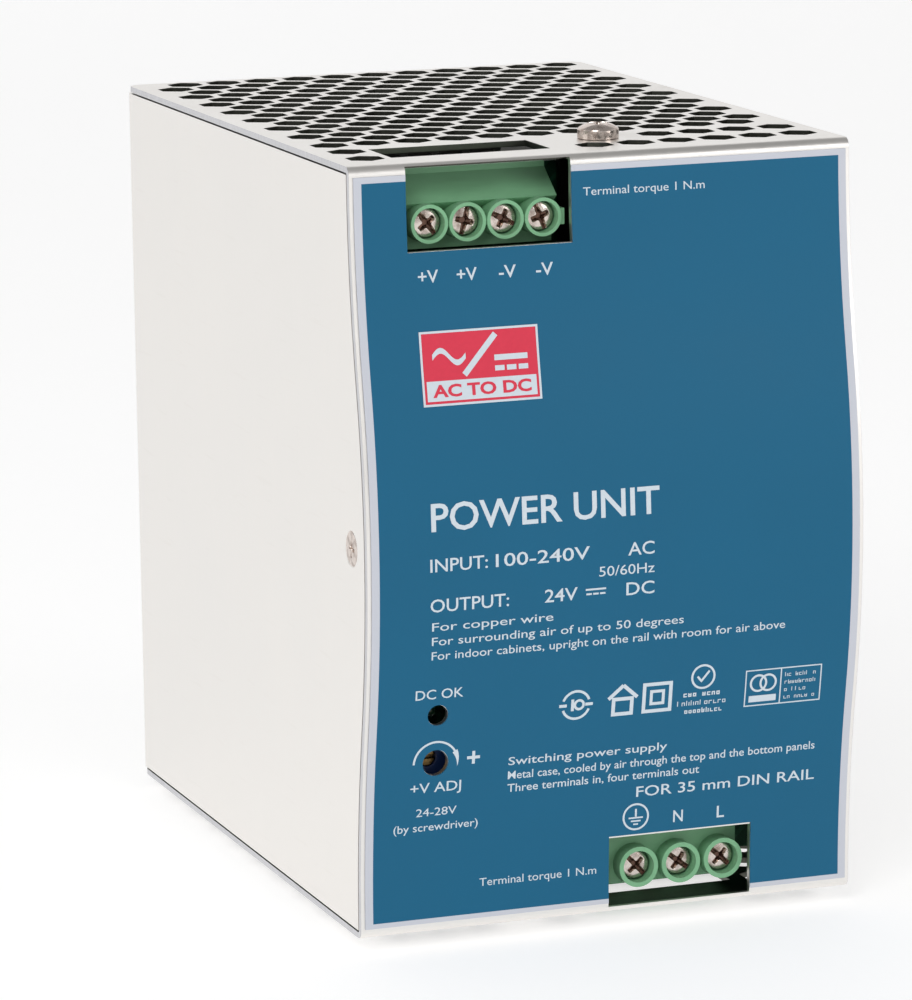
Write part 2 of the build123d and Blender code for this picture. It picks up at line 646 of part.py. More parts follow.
def make_transistor(y, z, out):
    """Flat power transistor against a heat sink face that looks along out * Z."""
    x0, x1 = on_board(20)
    tab = box(x0, x0 + 15, y - 5, y + 5, *sorted((z + out * 0.1, z + out * 1.3)))
    body = box(x0 + 6, x0 + 15, y - 5, y + 5, *sorted((z + out * 0.1, z + out * 4.6)))
    legs = [
        box(x0 + 14.5, x1, y + shift - 0.4, y + shift + 0.4, *sorted((z + out * 2.0, z + out * 2.6)))
        for shift in (-2.54, 0, 2.54)
    ]
    return tab + body + legs[0] + legs[1] + legs[2]


def make_box_part(y0, y1, z0, z1, height, radius=0.8):
    """Moulded box capacitor or relay with rounded corners."""
    x0, x1 = on_board(height)
    part = box(x0, x1, y0, y1, z0, z1)
    return fillet(part.edges().filter_by(Axis.X), radius)


def make_disc(y, z, radius, thick):
    """Disc part standing on edge across the board, with its two leads."""
    x0, x1 = on_board(2 * radius + 2.5)
    disc = Pos(x0 + radius, y, z) * Cylinder(radius, thick)
    disc = fillet(disc.edges().filter_by(GeomType.CIRCLE), thick * 0.35)
    for shift in (-2.5, 2.5):
        disc += box(x0 + radius, x1, y + shift - 0.35, y + shift + 0.35, z - 0.35, z + 0.35)
    return disc


def make_fuse(y, z):
    """Ceramic fuse across two end caps standing on leads."""
    x1 = MAIN_BOARD_X - 0.1
    body = rod_z(x1 - 6, y, z - 9, z + 9, 2.4)
    for end in (-10.5, 7.5):
        body += rod_z(x1 - 6, y, z + end, z + end + 3, 2.6)
        body += box(x1 - 6, x1, y - 0.4, y + 0.4, z + end + 1.1, z + end + 1.9)
    return body


def make_control_board():
    """Small upright board with its controller chip and header."""
    x0, x1 = on_board(30)
    board = box(x0, x1 - 2.5, 58, 92, 61.2, 62.4)
    board += box(x0 + 8, x0 + 14, 66, 76, 62.3, 64.0)
    return board + box(x1 - 3.5, x1, 60, 90, 60.4, 63.2)


def make_signal_board():
    """Small board behind the adjustment hole and the lamp hole."""
    return box(-38, -22.5, 6.0, 7.4, 21, 44)


def make_signal_post(x, z):
    """Spacer between the signal board and the front board."""
    return rod_y(x, z, 7.5, BOARD_FRONT - 0.1, 1.9)


def make_trimmer_body():
    """Square trimmer with a round well for its rotor."""
    body = box(ADJUST_X - 3.3, ADJUST_X + 3.3, 1.6, 5.9, ADJUST_Z - 3.3, ADJUST_Z + 3.3)
    return body - rod_y(ADJUST_X, ADJUST_Z, 0, 4.2, 1.5)


def make_trimmer_rotor():
    """Slotted rotor of the trimmer."""
    rotor = rod_y(ADJUST_X, ADJUST_Z, 2.0, 4.1, 1.45)
    slot = box(ADJUST_X - 2, ADJUST_X + 2, 1, 2.8, ADJUST_Z - 0.3, ADJUST_Z + 0.3)
    return rotor - slot


def make_lamp():
    """Round light emitting diode standing on a spacer collar of the signal board."""
    tip = front_y(LAMP_Z) + 3.2
    lens = Pos(ADJUST_X, tip + 1.5, LAMP_Z) * Sphere(1.45)
    stem = rod_y(ADJUST_X, LAMP_Z, tip + 1.5, 4.0, 1.45)
    return lens + stem + rod_y(ADJUST_X, LAMP_Z, 3.0, 5.9, 1.9)


# ---------------------------------------------------------------- all nodes
os.makedirs("parts", exist_ok=True)

save("cover", make_cover())
save("chassis", make_chassis())
save("front_label", make_label())
save("front_ears", *[make_front_ear(side) for side in (-1, 1)])
save("side_screws", *[countersunk_screw(side) - cross_recess_x(side) for side in (-1, 1)])
save(
    "case_screws",
    pan_screw_z(TOP_SCREW_X, CASE_SCREW_Y, HEIGHT, 1),
    pan_screw_z(BOTTOM_SCREW_X, CASE_SCREW_Y, 0, -1),
)
save(
    "board_brackets",
    make_board_bracket(TOP_SCREW_X, 1),
    make_board_bracket(BOTTOM_SCREW_X, -1),
)

save("output_block", make_output_block())
save("input_block", make_input_block())
for side, row in (("output", OUTPUT), ("input", INPUT)):
    for number, x in enumerate(row.xs, 1):
        save(f"{side}_screw_{number}", make_terminal_screw(row, x))
        save(f"{side}_clamp_{number}", make_clamp(row, x))
    save(f"{side}_contacts", *[make_contact(row, x) for x in row.xs])

save("front_board", make_front_board())
save("main_board", make_main_board())
save("insulation_sheet", make_insulation())
save("standoffs", *[make_standoff(y, z) for y, z in MAIN_HOLES])
save(
    "board_screws",
    *[make_board_screw_x(y, z) for y, z in MAIN_HOLES],
    *[make_board_screw_y(x, z) for x, z in BRACKET_HOLES],
)
save("board_link", box(32.6, MAIN_BOARD_X - 0.1, 22.2, 25.4, 50, 92))
save("signal_board", make_signal_board())
save("signal_posts", make_signal_post(-35.8, 24), make_signal_post(-24.7, 41.5))
save("trimmer_body", make_trimmer_body())
save("trimmer_rotor", make_trimmer_rotor())
save("status_lamp", make_lamp())

save("rail_clip", make_clip())
save("rail_latch", make_latch())
save("latch_spring", make_spring())
save("clip_rivets", *[make_rivet(x, z) for x, z in CLIP_RIVETS])

save("bulk_capacitors", *[make_can(104, z, 12.0, 46) for z in (38, 64)])
save("output_capacitors", *[make_can(y, z, 5.0, 25) for y in (32, 43.5) for z in (80, 91.5, 103)])
save("transformer_core", make_transformer_core(70, 87))
save("transformer_coil", make_transformer_coil(70, 87))
save("transformer_bobbin", make_transformer_bobbin(70, 87))
boost_core, boost_winding = make_ring_choke(72.6, 40, 8.5, 16.5, 13, 2.2)
save("boost_choke_core", boost_core)
save("boost_choke_winding", boost_winding)
output_core, output_winding = make_ring_choke(100, 96, 5.5, 11.5, 9, 1.6)
save("output_choke_core", output_core)
save("output_choke_winding", output_winding)
filter_chokes = [make_ring_choke(y, 16, 4.5, 8.5, 8, 1.3) for y in (44.5, 97)]
save("filter_choke_cores", *[core for core, _ in filter_chokes])
save("filter_choke_windings", *[winding for _, winding in filter_chokes])
save("primary_heat_sink", make_heat_sink(28, 50, 54, 62))
save("secondary_heat_sink", make_heat_sink(46, 86, 115, 62))
save("power_transistors", *[make_transistor(y, 52.5, -1) for y in (34, 45)])
save("rectifier_diodes", *[make_transistor(y, 113.5, -1) for y in (55, 67, 79)])
save("film_capacitors", *[make_box_part(y, y + 9, 5, 20, 17) for y in (56, 68)])
save("disc_capacitors", *[make_disc(y, 28.5, 4.0, 3.2) for y in (38, 48)])
save("surge_parts", make_disc(35, 38, 6.0, 4.0), make_disc(47, 38, 5.0, 4.2))
save("fuse", make_fuse(26, 34))
save("control_board", make_control_board())
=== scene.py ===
"""Looks of a DIN rail power supply: plated case, printed front, terminals, windings and boards.

Sizes below are case millimetres unless a line says metres: x from the middle of the width,
y back from the flat edge of the front panel, z up from the bottom of the case.
place() turns them into metres of the frame.
"""

import json
from math import atan, cos, pi, radians, sin

import bmesh
import bpy
import numpy as np
from bpy.props import FloatProperty, FloatVectorProperty, IntProperty, PointerProperty
from mathutils import Matrix, Vector

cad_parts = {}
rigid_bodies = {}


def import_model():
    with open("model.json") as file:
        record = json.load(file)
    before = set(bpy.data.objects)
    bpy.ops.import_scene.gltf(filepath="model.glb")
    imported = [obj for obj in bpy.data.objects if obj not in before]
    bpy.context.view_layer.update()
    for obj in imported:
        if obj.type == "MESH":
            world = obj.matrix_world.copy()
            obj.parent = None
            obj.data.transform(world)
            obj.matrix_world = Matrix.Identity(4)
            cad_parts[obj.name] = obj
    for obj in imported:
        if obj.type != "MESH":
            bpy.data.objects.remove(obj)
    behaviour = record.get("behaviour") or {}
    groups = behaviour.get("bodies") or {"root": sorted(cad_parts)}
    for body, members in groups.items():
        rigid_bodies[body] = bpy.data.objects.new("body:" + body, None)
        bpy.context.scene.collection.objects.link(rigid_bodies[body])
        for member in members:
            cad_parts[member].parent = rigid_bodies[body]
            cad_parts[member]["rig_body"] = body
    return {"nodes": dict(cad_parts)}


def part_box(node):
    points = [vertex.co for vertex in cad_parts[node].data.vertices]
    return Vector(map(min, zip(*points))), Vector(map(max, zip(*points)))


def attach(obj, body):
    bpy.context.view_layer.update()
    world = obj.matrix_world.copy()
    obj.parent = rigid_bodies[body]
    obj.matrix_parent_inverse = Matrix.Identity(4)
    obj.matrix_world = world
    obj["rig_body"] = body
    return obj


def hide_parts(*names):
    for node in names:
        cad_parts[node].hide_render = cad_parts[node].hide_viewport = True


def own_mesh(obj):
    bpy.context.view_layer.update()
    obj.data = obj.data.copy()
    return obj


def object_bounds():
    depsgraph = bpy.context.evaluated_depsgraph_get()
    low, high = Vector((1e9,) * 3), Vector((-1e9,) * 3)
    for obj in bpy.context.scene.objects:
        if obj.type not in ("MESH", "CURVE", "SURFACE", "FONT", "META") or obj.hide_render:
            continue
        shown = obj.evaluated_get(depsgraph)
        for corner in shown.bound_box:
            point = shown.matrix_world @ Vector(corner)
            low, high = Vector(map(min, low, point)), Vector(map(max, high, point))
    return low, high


bl_info = {
    "name": "DIN rail power supply looks",
    "version": (1, 0, 0),
    "blender": (4, 5, 0),
    "location": "View3D > Sidebar > Power supply",
    "description": "Adds finishes, print, windings and hardware to the power supply's frame",
    "category": "Add Mesh",
}

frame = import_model()
CAD_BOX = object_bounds()

# ---------------------------------------------------------------- case sizes, millimetres
MM = 0.001
WIDTH = 85.5
HALF_WIDTH = WIDTH / 2
HEIGHT = 125.2
MIDDLE = HEIGHT / 2
CASE_DEPTH = 122.6
SEAT_BACK = 124.6
RAIL_HEIGHT = 64.3
BULGE = 5.9
BEND = 1.5
HOLLOW_RADIUS = 172.0
CURVE_RUN = MIDDLE - BEND
CURVE_ANGLE = 2 * atan(BULGE / CURVE_RUN)
BELLY_RADIUS = CURVE_RUN / sin(CURVE_ANGLE) - HOLLOW_RADIUS
LABEL_FACE = -0.25
BOARD_FACE = 35.5


def srgb(red, green, blue):
    """Linear colour from 0-255 display values."""
    values = np.array([red, green, blue]) / 255
    linear = np.where(values <= 0.04045, values / 12.92, ((values + 0.055) / 1.055) ** 2.4)
    return tuple(float(v) for v in linear)


def place(x, y, z):
    """Points in frame metres from case millimetres, as an array whose last axis is x, y, z."""
    x, y, z = np.broadcast_arrays(np.asarray(x, float), y, z)
    return np.stack([x, y - SEAT_BACK, z - RAIL_HEIGHT], axis=-1) * MM


def front_depth(z, inset=LABEL_FACE):
    """How far back the curved front is at height z: y of a circle arc that bellies forward in
    the middle third and of hollow arcs that run out to the flat edges, set back by inset."""
    rise = np.abs(np.asarray(z, float) - MIDDLE)
    belly = BELLY_RADIUS - inset
    hollow = HOLLOW_RADIUS + inset
    middle = BELLY_RADIUS - BULGE - np.sqrt(np.maximum(belly**2 - rise**2, 0))
    edge = np.sqrt(np.maximum(hollow**2 - (CURVE_RUN - rise) ** 2, 0)) - HOLLOW_RADIUS
    return np.where(rise < BELLY_RADIUS * sin(CURVE_ANGLE), middle, edge)


# ---------------------------------------------------------------- settings
def colour(name, description, value):
    """A colour setting."""
    return FloatVectorProperty(
        name=name, description=description, subtype="COLOR", min=0, max=1, default=value
    )


def length(name, description, value):
    """A length setting, in metres."""
    return FloatProperty(
        name=name, description=description, subtype="DISTANCE", unit="LENGTH", default=value
    )


class CaseSettings(bpy.types.PropertyGroup):
    """Finish of the sheet metal."""

    plating: colour("Plating", "Colour of the plated sheet", srgb(238, 235, 231))
    roughness: FloatProperty(
        name="Roughness", description="Mean roughness of the plating", default=0.34, min=0, max=1
    )


class LabelSettings(bpy.types.PropertyGroup):
    """Printed front label."""

    field: colour("Field", "Colour of the printed field", srgb(4, 93, 128))
    border: colour("Border", "Colour of the bare film around the field", srgb(197, 200, 209))
    ink: colour("Ink", "Colour of the lettering", srgb(206, 216, 224))
    badge: colour("Badge", "Colour of the badge", srgb(214, 56, 78))
    ink_thickness: length("Ink thickness", "Height of the printed ink", 0.00003)


class TerminalSettings(bpy.types.PropertyGroup):
    """Terminal blocks."""

    nylon: colour("Nylon", "Colour of the terminal blocks", srgb(122, 176, 134))
    edge: length("Edge radius", "Rounding of the moulded edges", 0.00018)


class WindingSettings(bpy.types.PropertyGroup):
    """Coils on the boards."""

    copper: colour("Copper", "Colour of the enamelled wire", srgb(168, 84, 38))
    tape: colour("Tape", "Colour of the transformer's tape", srgb(214, 170, 40))
    sides: IntProperty(name="Wire sides", description="Sides of the wire", default=8, min=5, max=16)


class BoardSettings(bpy.types.PropertyGroup):
    """Boards and their parts."""

    mask: colour("Solder mask", "Colour of the boards", srgb(16, 58, 38))
    sleeve: colour("Sleeve", "Colour of the capacitor sleeves", srgb(26, 28, 34))


class StudioSettings(bpy.types.PropertyGroup):
    """Floor, lights and camera."""

    focal: FloatProperty(
        name="Focal length",
        description="Focal length on a 36 mm frame height",
        unit="CAMERA",
        default=193.7,
    )
    floor: colour("Floor", "Colour of the floor", (0.6, 0.6, 0.6))
    glow: FloatProperty(name="Floor glow", description="Light of the paper itself", default=0.56, min=0)
    fill: FloatProperty(name="Fill", description="Strength of the surroundings", default=0.72, min=0)
    overhead: FloatProperty(
        name="Overhead", description="Share of the fill overhead", default=0.45, min=0, max=1)
    ahead: FloatProperty(name="Ahead", description="Share of the fill in front", default=0.8, min=0, max=1)
    key: FloatProperty(
        name="Key", description="Soft box over the left of the front, watts", default=6.5, min=0)
    side: FloatProperty(name="Side", description="Soft box at the left, watts", default=2.0, min=0)
    front: FloatProperty(name="Front", description="Soft box right of the front, watts", default=4.0, min=0)


SETTINGS = {
    "supply_case": CaseSettings,
    "supply_label": LabelSettings,
    "supply_terminals": TerminalSettings,
    "supply_windings": WindingSettings,
    "supply_boards": BoardSettings,
    "supply_studio": StudioSettings,
}


# ---------------------------------------------------------------- finishes
class Finish:
    """One material: its node tree, its shader and short ways to add nodes to it."""

    def __init__(self, name, base, roughness, metallic=0.0, specular=0.5, **fixed):
        self.material = bpy.data.materials.new(name)
        self.material.use_nodes = True
        self.tree = self.material.node_tree
        self.shader = self.tree.nodes["Principled BSDF"]
        self.set("Base Color", (*base, 1))
        self.set("Roughness", roughness)
        self.set("Metallic", metallic)
        self.set("Specular IOR Level", specular)
        for socket, value in fixed.items():
            self.set(socket.replace("_", " ").title(), value)
        self.place = self.add("ShaderNodeTexCoord").outputs["Object"]
        self.normal = None

    def set(self, socket, value):
        self.shader.inputs[socket].default_value = value

    def add(self, kind, **settings):
        node = self.tree.nodes.new(kind)
        for key, value in settings.items():
            setattr(node, key, value)
        return node

    def feed(self, socket, value):
        """Link an output to a socket, or set the socket to a number."""
        if isinstance(value, bpy.types.NodeSocket):
            self.tree.links.new(value, socket)
        else:
            socket.default_value = value

    def stretched(self, x, y, z):
        """Object place with each axis scaled."""
        node = self.add("ShaderNodeMapping")
        self.feed(node.inputs["Vector"], self.place)
        node.inputs["Scale"].default_value = (x, y, z)
        return node.outputs["Vector"]

    def noise(self, scale, detail=2.0, vector=None, roughness=0.5):
        node = self.add("ShaderNodeTexNoise")
        self.feed(node.inputs["Vector"], self.place if vector is None else vector)
        node.inputs["Scale"].default_value = scale
        node.inputs["Detail"].default_value = detail
        node.inputs["Roughness"].default_value = roughness
        return node.outputs["Fac"]

    def cells(self, scale, vector=None, feature="F1"):
        node = self.add("ShaderNodeTexVoronoi", feature=feature)
        self.feed(node.inputs["Vector"], self.place if vector is None else vector)
        node.inputs["Scale"].default_value = scale
        return node.outputs["Distance"]

    def axis(self, letter):
        """One coordinate of the object place, in metres."""
        node = self.add("ShaderNodeSeparateXYZ")
        self.feed(node.inputs["Vector"], self.place)
        return node.outputs[letter]

    def maths(self, operation, a, b=0.0, clamp=False):
        node = self.add("ShaderNodeMath", operation=operation, use_clamp=clamp)
        self.feed(node.inputs[0], a)
        self.feed(node.inputs[1], b)
        return node.outputs["Value"]

    def between(self, value, low, high, out_low=0.0, out_high=1.0):
        """Straight ramp from low..high to out_low..out_high, held at its ends."""
        node = self.add("ShaderNodeMapRange")
        for socket, number in zip(node.inputs, (value, low, high, out_low, out_high)):
            self.feed(socket, number)
        return node.outputs["Result"]

    def mixed(self, factor, first, second):
        """Colour mix; first and second are colours or outputs."""
        node = self.add("ShaderNodeMix", data_type="RGBA")
        self.feed(node.inputs["Factor"], factor)
        for socket, value in ((node.inputs["A"], first), (node.inputs["B"], second)):
            socket = [s for s in node.inputs if s.name == socket.name and s.type == "RGBA"][0]
            self.feed(socket, value if isinstance(value, bpy.types.NodeSocket) else (*value, 1))
        return [s for s in node.outputs if s.type == "RGBA"][0]

    def shades(self, factor, base, darker=0.8, lighter=1.15):
        """The base colour, made darker and lighter by a pattern."""
        dark = tuple(min(1.0, c * darker) for c in base)
        light = tuple(min(1.0, c * lighter) for c in base)
        return self.mixed(factor, dark, light)

    def colour(self, output):
        self.tree.links.new(output, self.shader.inputs["Base Color"])

    def rough(self, output):
        self.tree.links.new(output, self.shader.inputs["Roughness"])

    def relief(self, height, depth, strength=1.0):
        """Bump of a pattern, depth in metres, on top of any earlier one."""
        node = self.add("ShaderNodeBump")
        node.inputs["Strength"].default_value = strength
        node.inputs["Distance"].default_value = depth
        self.feed(node.inputs["Height"], height)
        if self.normal is not None:
            self.tree.links.new(self.normal, node.inputs["Normal"])
        self.normal = node.outputs["Normal"]
        self.tree.links.new(self.normal, self.shader.inputs["Normal"])


def painted_inner_shade(f):
    """1 on the inner faces of the sheet, which take a painted shade, and 0 on outer ones."""
    skin = 0.9
    limits = (
        ("X", 0, HALF_WIDTH - skin),
        ("Y", CASE_DEPTH / 2 - SEAT_BACK, CASE_DEPTH / 2 - skin),
        ("Z", MIDDLE - RAIL_HEIGHT, MIDDLE - skin),
    )
    inner = 1.0
    for letter, centre, half in limits:
        away = f.maths("ABSOLUTE", f.maths("SUBTRACT", f.axis(letter), centre * MM))
        inner = f.maths("MULTIPLY", inner, f.maths("LESS_THAN", away, half * MM))
    return inner


def plated_sheet(name, sheared=False):
    """Satin plated steel: rolling grain along the sheet, cloudy sheen and a few fine scuffs; the
    cover's sheared side edges are greyer, with fine streaks, and the walls of its stamped holes
    are greyer raw steel darkened further by painted shade; inner faces get a painted shade."""
    look = bpy.context.scene.supply_case
    base = tuple(look.plating)
    f = Finish(name, base, look.roughness, metallic=1.0)
    clouds = f.noise(38, 4)
    grain = f.noise(1, 3, f.stretched(900, 900, 60))
    specks = f.between(f.cells(520), 0.0, 0.10, 1.0, 0.0)
    tone = f.maths("ADD", f.maths("MULTIPLY", clouds, 0.7), f.maths("MULTIPLY", grain, 0.3))
    outer = f.mixed(f.maths("MULTIPLY", specks, 0.10), f.shades(tone, base, 0.94, 1.03), (0.5, 0.48, 0.46))
    if sheared:
        edge = f.maths("GREATER_THAN", f.maths("ABSOLUTE", f.axis("X")), (HALF_WIDTH - 0.04) * MM)
        streaks = f.noise(1, 3, f.stretched(300, 2600, 260))
        middle = (MIDDLE - RAIL_HEIGHT) * MM
        up = f.maths("ABSOLUTE", f.maths("SUBTRACT", f.axis("Z"), middle))
        below_face = f.maths("LESS_THAN", up, (MIDDLE - 0.04) * MM)
        in_sheet = f.maths("GREATER_THAN", up, (MIDDLE - 1.05) * MM)
        behind_bend = f.maths("GREATER_THAN", f.axis("Y"), (1.6 - SEAT_BACK) * MM)
        # Walls of the holes: greyer raw steel, darkened further by painted shade.
        hole_wall_shade = f.maths("MULTIPLY", f.maths("MULTIPLY", below_face, in_sheet), behind_bend)
        outer = f.mixed(hole_wall_shade, outer, f.shades(streaks, srgb(88, 89, 82), 0.7, 1.3))
        outer = f.mixed(edge, outer, f.shades(streaks, srgb(206, 206, 209), 0.8, 1.12))
    # Inner faces: a dark grey laid over the plating as painted shade.
    f.colour(f.mixed(painted_inner_shade(f), outer, srgb(56, 56, 52)))
    spread = f.between(tone, 0.3, 0.7, look.roughness - 0.05, look.roughness + 0.08)
    scuffs = f.between(f.noise(1, 5, f.stretched(70, 70, 900)), 0.62, 0.70, 0.0, 0.08)
    f.rough(f.maths("ADD", spread, scuffs))
    f.relief(grain, 0.000012, 0.5)
    f.relief(f.noise(2600, 2), 0.00001, 0.5)
    return f.material


def label_film():
    """Printed polyester: a blue field with square corners on paler film, finely stippled."""
    look = bpy.context.scene.supply_label
    f = Finish("label_film", tuple(look.field), 0.42, specular=0.28, coat_weight=0.0)
    across = f.maths("ABSOLUTE", f.axis("X"))
    middle = (62.5 - RAIL_HEIGHT) * MM
    up = f.maths("ABSOLUTE", f.maths("SUBTRACT", f.axis("Z"), middle))
    beyond_x = f.maths("GREATER_THAN", across, 40.75 * MM)
    beyond_z = f.maths("GREATER_THAN", up, 60.0 * MM)
    outside = f.maths("MAXIMUM", beyond_x, beyond_z)
    clouds = f.noise(45, 3)
    stipple = f.noise(3200, 2)
    blue = f.shades(f.maths("ADD", f.maths("MULTIPLY", clouds, 0.6), f.maths("MULTIPLY", stipple, 0.4)),
                    tuple(look.field), 0.93, 1.07)
    f.colour(f.mixed(outside, blue, tuple(look.border)))
    f.rough(f.between(clouds, 0.3, 0.7, 0.38, 0.46))
    f.relief(stipple, 0.00002, 0.35)
    return f.material


def recess_grime():
    """Bottom of a screw's recess: plating darkened by painted shade, with a brown film of grime."""
    # The dark base colour is painted shade; the brown film over it is grime.
    base = srgb(104, 80, 70)
    f = Finish("recess_grime", base, 0.3, metallic=1.0)
    film = f.noise(900, 4)
    f.colour(f.shades(film, base, 0.55, 1.5))
    f.rough(f.between(film, 0.3, 0.7, 0.24, 0.5))
    f.relief(film, 0.00003, 0.4)
    return f.material


def ink(name, base):
    """Screen printed ink: slightly uneven coverage over the stippled film."""
    f = Finish(name, base, 0.5, specular=0.25)
    f.colour(f.shades(f.noise(1500, 3), base, 0.93, 1.04))
    f.rough(f.between(f.noise(600, 2), 0.3, 0.7, 0.45, 0.56))
    f.relief(f.noise(4200, 2), 0.00001, 0.4)
    return f.material


def nickel():
    """Nickel plated screw: turned lines round the axis are lost in the plating, small dents stay."""
    base = srgb(214, 202, 194)
    f = Finish("screw_nickel", base, 0.18, metallic=1.0)
    wear = f.noise(700, 4)
    f.colour(f.mixed(f.between(wear, 0.45, 0.75), base, srgb(150, 132, 122)))
    f.rough(f.between(wear, 0.3, 0.7, 0.12, 0.3))
    f.relief(f.noise(1400, 2), 0.00005, 0.5)
    return f.material


def green_nylon():
    """Glass filled nylon moulding: faint flow marks and a fine satin grain."""
    base = tuple(bpy.context.scene.supply_terminals.nylon)
    f = Finish("green_nylon", base, 0.46, specular=0.4, subsurface_weight=0.06)
    f.set("Subsurface Radius", (0.0006, 0.0009, 0.0006))
    flow = f.noise(1, 3, f.stretched(160, 420, 420))
    f.colour(f.shades(flow, base, 0.86, 1.1))
    f.rough(f.between(flow, 0.3, 0.7, 0.4, 0.54))
    f.relief(f.noise(3800, 2), 0.000015, 0.4)
    return f.material


def zinc_steel(name, base, grain_scale=500):
    """Zinc plated steel stampings: crystalline patches and drawn grain."""
    f = Finish(name, base, 0.36, metallic=1.0)
    patches = f.cells(grain_scale)
    clouds = f.noise(90, 4)
    spangle = f.maths("ADD", f.maths("MULTIPLY", patches, 0.5), f.maths("MULTIPLY", clouds, 0.6))
    f.colour(f.shades(spangle, base, 0.8, 1.12))
    f.rough(f.between(clouds, 0.3, 0.7, 0.28, 0.48))
    f.relief(f.noise(1, 2, f.stretched(1400, 1400, 160)), 0.00001, 0.6)
    return f.material


def tinned_copper():
    """Bright tin over copper that shows warm where the tin is thin."""
    base = srgb(205, 200, 192)
    f = Finish("tinned_copper", base, 0.3, metallic=1.0)
    thin = f.between(f.noise(260, 4), 0.58, 0.72)
    f.colour(f.mixed(thin, base, srgb(190, 140, 100)))
    f.rough(f.between(f.noise(700, 3), 0.3, 0.7, 0.22, 0.42))
    f.relief(f.noise(1200, 3), 0.00003, 0.4)
    return f.material


def board_epoxy():
    """Green solder mask: glass weave under it and copper runs that lift it a little."""
    base = tuple(bpy.context.scene.supply_boards.mask)
    f = Finish("board_epoxy", base, 0.42, specular=0.3)
    runs = f.add("ShaderNodeTexBrick", offset=0.5, offset_frequency=2, squash=1.6, squash_frequency=3)
    turned = f.add("ShaderNodeMapping")
    f.feed(turned.inputs["Vector"], f.place)
    turned.inputs["Rotation"].default_value = (pi / 2, 0, pi / 4)
    f.feed(runs.inputs["Vector"], turned.outputs["Vector"])
    runs.inputs["Scale"].default_value = 90
    runs.inputs["Mortar Size"].default_value = 0.035
    runs.inputs["Mortar Smooth"].default_value = 0.1
    trace = f.between(runs.outputs["Fac"], 0.2, 0.8)
    weave = f.add("ShaderNodeTexWave", wave_type="BANDS", bands_direction="DIAGONAL")
    f.feed(weave.inputs["Vector"], f.place)
    weave.inputs["Scale"].default_value = 900
    weave.inputs["Distortion"].default_value = 1.5
    bright = tuple(min(1, c * 1.75) for c in base)
    f.colour(f.mixed(trace, f.shades(weave.outputs["Fac"], base, 0.9, 1.1), bright))
    f.rough(f.between(f.noise(300, 3), 0.3, 0.7, 0.36, 0.52))
    f.relief(trace, 0.00004, 0.6)
    return f.material


def ferrite():
    """Sintered ferrite: near black, chalky, with pores and chipped specks lightened as painted glints."""
    base = srgb(46, 46, 50)
    f = Finish("ferrite", base, 0.62, specular=0.4)
    chips = f.between(f.cells(900), 0.0, 0.16, 1.0, 0.0)
    # Painted glints: the chip specks are mixed towards a paler grey.
    glints = f.maths("MULTIPLY", chips, 0.5)
    f.colour(f.mixed(glints, f.shades(f.noise(160, 5), base, 0.7, 1.3), srgb(96, 94, 96)))
    f.rough(f.between(f.noise(500, 3), 0.3, 0.7, 0.5, 0.75))
    f.relief(f.noise(1500, 4), 0.00005, 0.6)
    return f.material


def enamelled_copper():
    """Enamelled copper wire: warm metal under lacquer, in random darker and lighter patches."""
    base = tuple(bpy.context.scene.supply_windings.copper)
    f = Finish("copper_wire", base, 0.26, metallic=0.85, coat_weight=0.6, coat_roughness=0.12)
    tone = f.noise(220, 4)
    f.colour(f.shades(tone, base, 0.7, 1.25))
    f.rough(f.between(tone, 0.3, 0.7, 0.2, 0.38))
    f.relief(f.noise(1800, 2), 0.00002, 0.3)
    return f.material


def tape():
    """Polyester winding tape: laps across the coil show as bands, with small wrinkles."""
    base = tuple(bpy.context.scene.supply_windings.tape)
    f = Finish("yellow_tape", base, 0.3, specular=0.5, coat_weight=0.25, coat_roughness=0.1)
    laps = f.add("ShaderNodeTexWave", wave_type="BANDS", bands_direction="X", wave_profile="SAW")
    f.feed(laps.inputs["Vector"], f.place)
    laps.inputs["Scale"].default_value = 42
    laps.inputs["Distortion"].default_value = 0.3
    wrinkle = f.noise(1, 4, f.stretched(120, 420, 420))
    folds = f.maths("ADD", f.maths("MULTIPLY", laps.outputs["Fac"], 0.45), f.maths("MULTIPLY", wrinkle, 0.6))
    f.colour(f.shades(folds, base, 0.78, 1.1))
    f.rough(f.between(wrinkle, 0.3, 0.7, 0.24, 0.42))
    f.relief(wrinkle, 0.00012, 0.6)
    return f.material


def moulding(name, base, roughness=0.45, grain=2600):
    """Moulded plastic: spark eroded grain and faint flow clouds."""
    f = Finish(name, base, roughness, specular=0.45)
    f.colour(f.shades(f.noise(120, 3), base, 0.82, 1.16))
    f.rough(f.between(f.noise(420, 3), 0.3, 0.7, roughness - 0.07, roughness + 0.1))
    f.relief(f.noise(grain, 3), 0.00003, 0.5)
    return f.material


def shrink_sleeve():
    """Shrunk vinyl sleeve: glossy, with the slight ripple of shrinking round the can."""
    base = tuple(bpy.context.scene.supply_boards.sleeve)
    f = Finish("capacitor_sleeve", base, 0.24, specular=0.5, coat_weight=0.3, coat_roughness=0.08)
    ripple = f.noise(1, 3, f.stretched(260, 90, 90))
    f.colour(f.shades(f.noise(90, 3), base, 0.8, 1.2))
    f.rough(f.between(ripple, 0.3, 0.7, 0.18, 0.34))
    f.relief(ripple, 0.00006, 0.5)
    return f.material


def milled_aluminium(name, base):
    """Extruded or drawn aluminium: long die lines and a soft haze."""
    f = Finish(name, base, 0.38, metallic=1.0)
    lines = f.noise(1, 4, f.stretched(90, 90, 2400))
    haze = f.noise(70, 3)
    f.colour(f.shades(haze, base, 0.86, 1.06))
    f.rough(f.between(lines, 0.3, 0.7, 0.3, 0.5))
    f.relief(lines, 0.000015, 0.7)
    return f.material


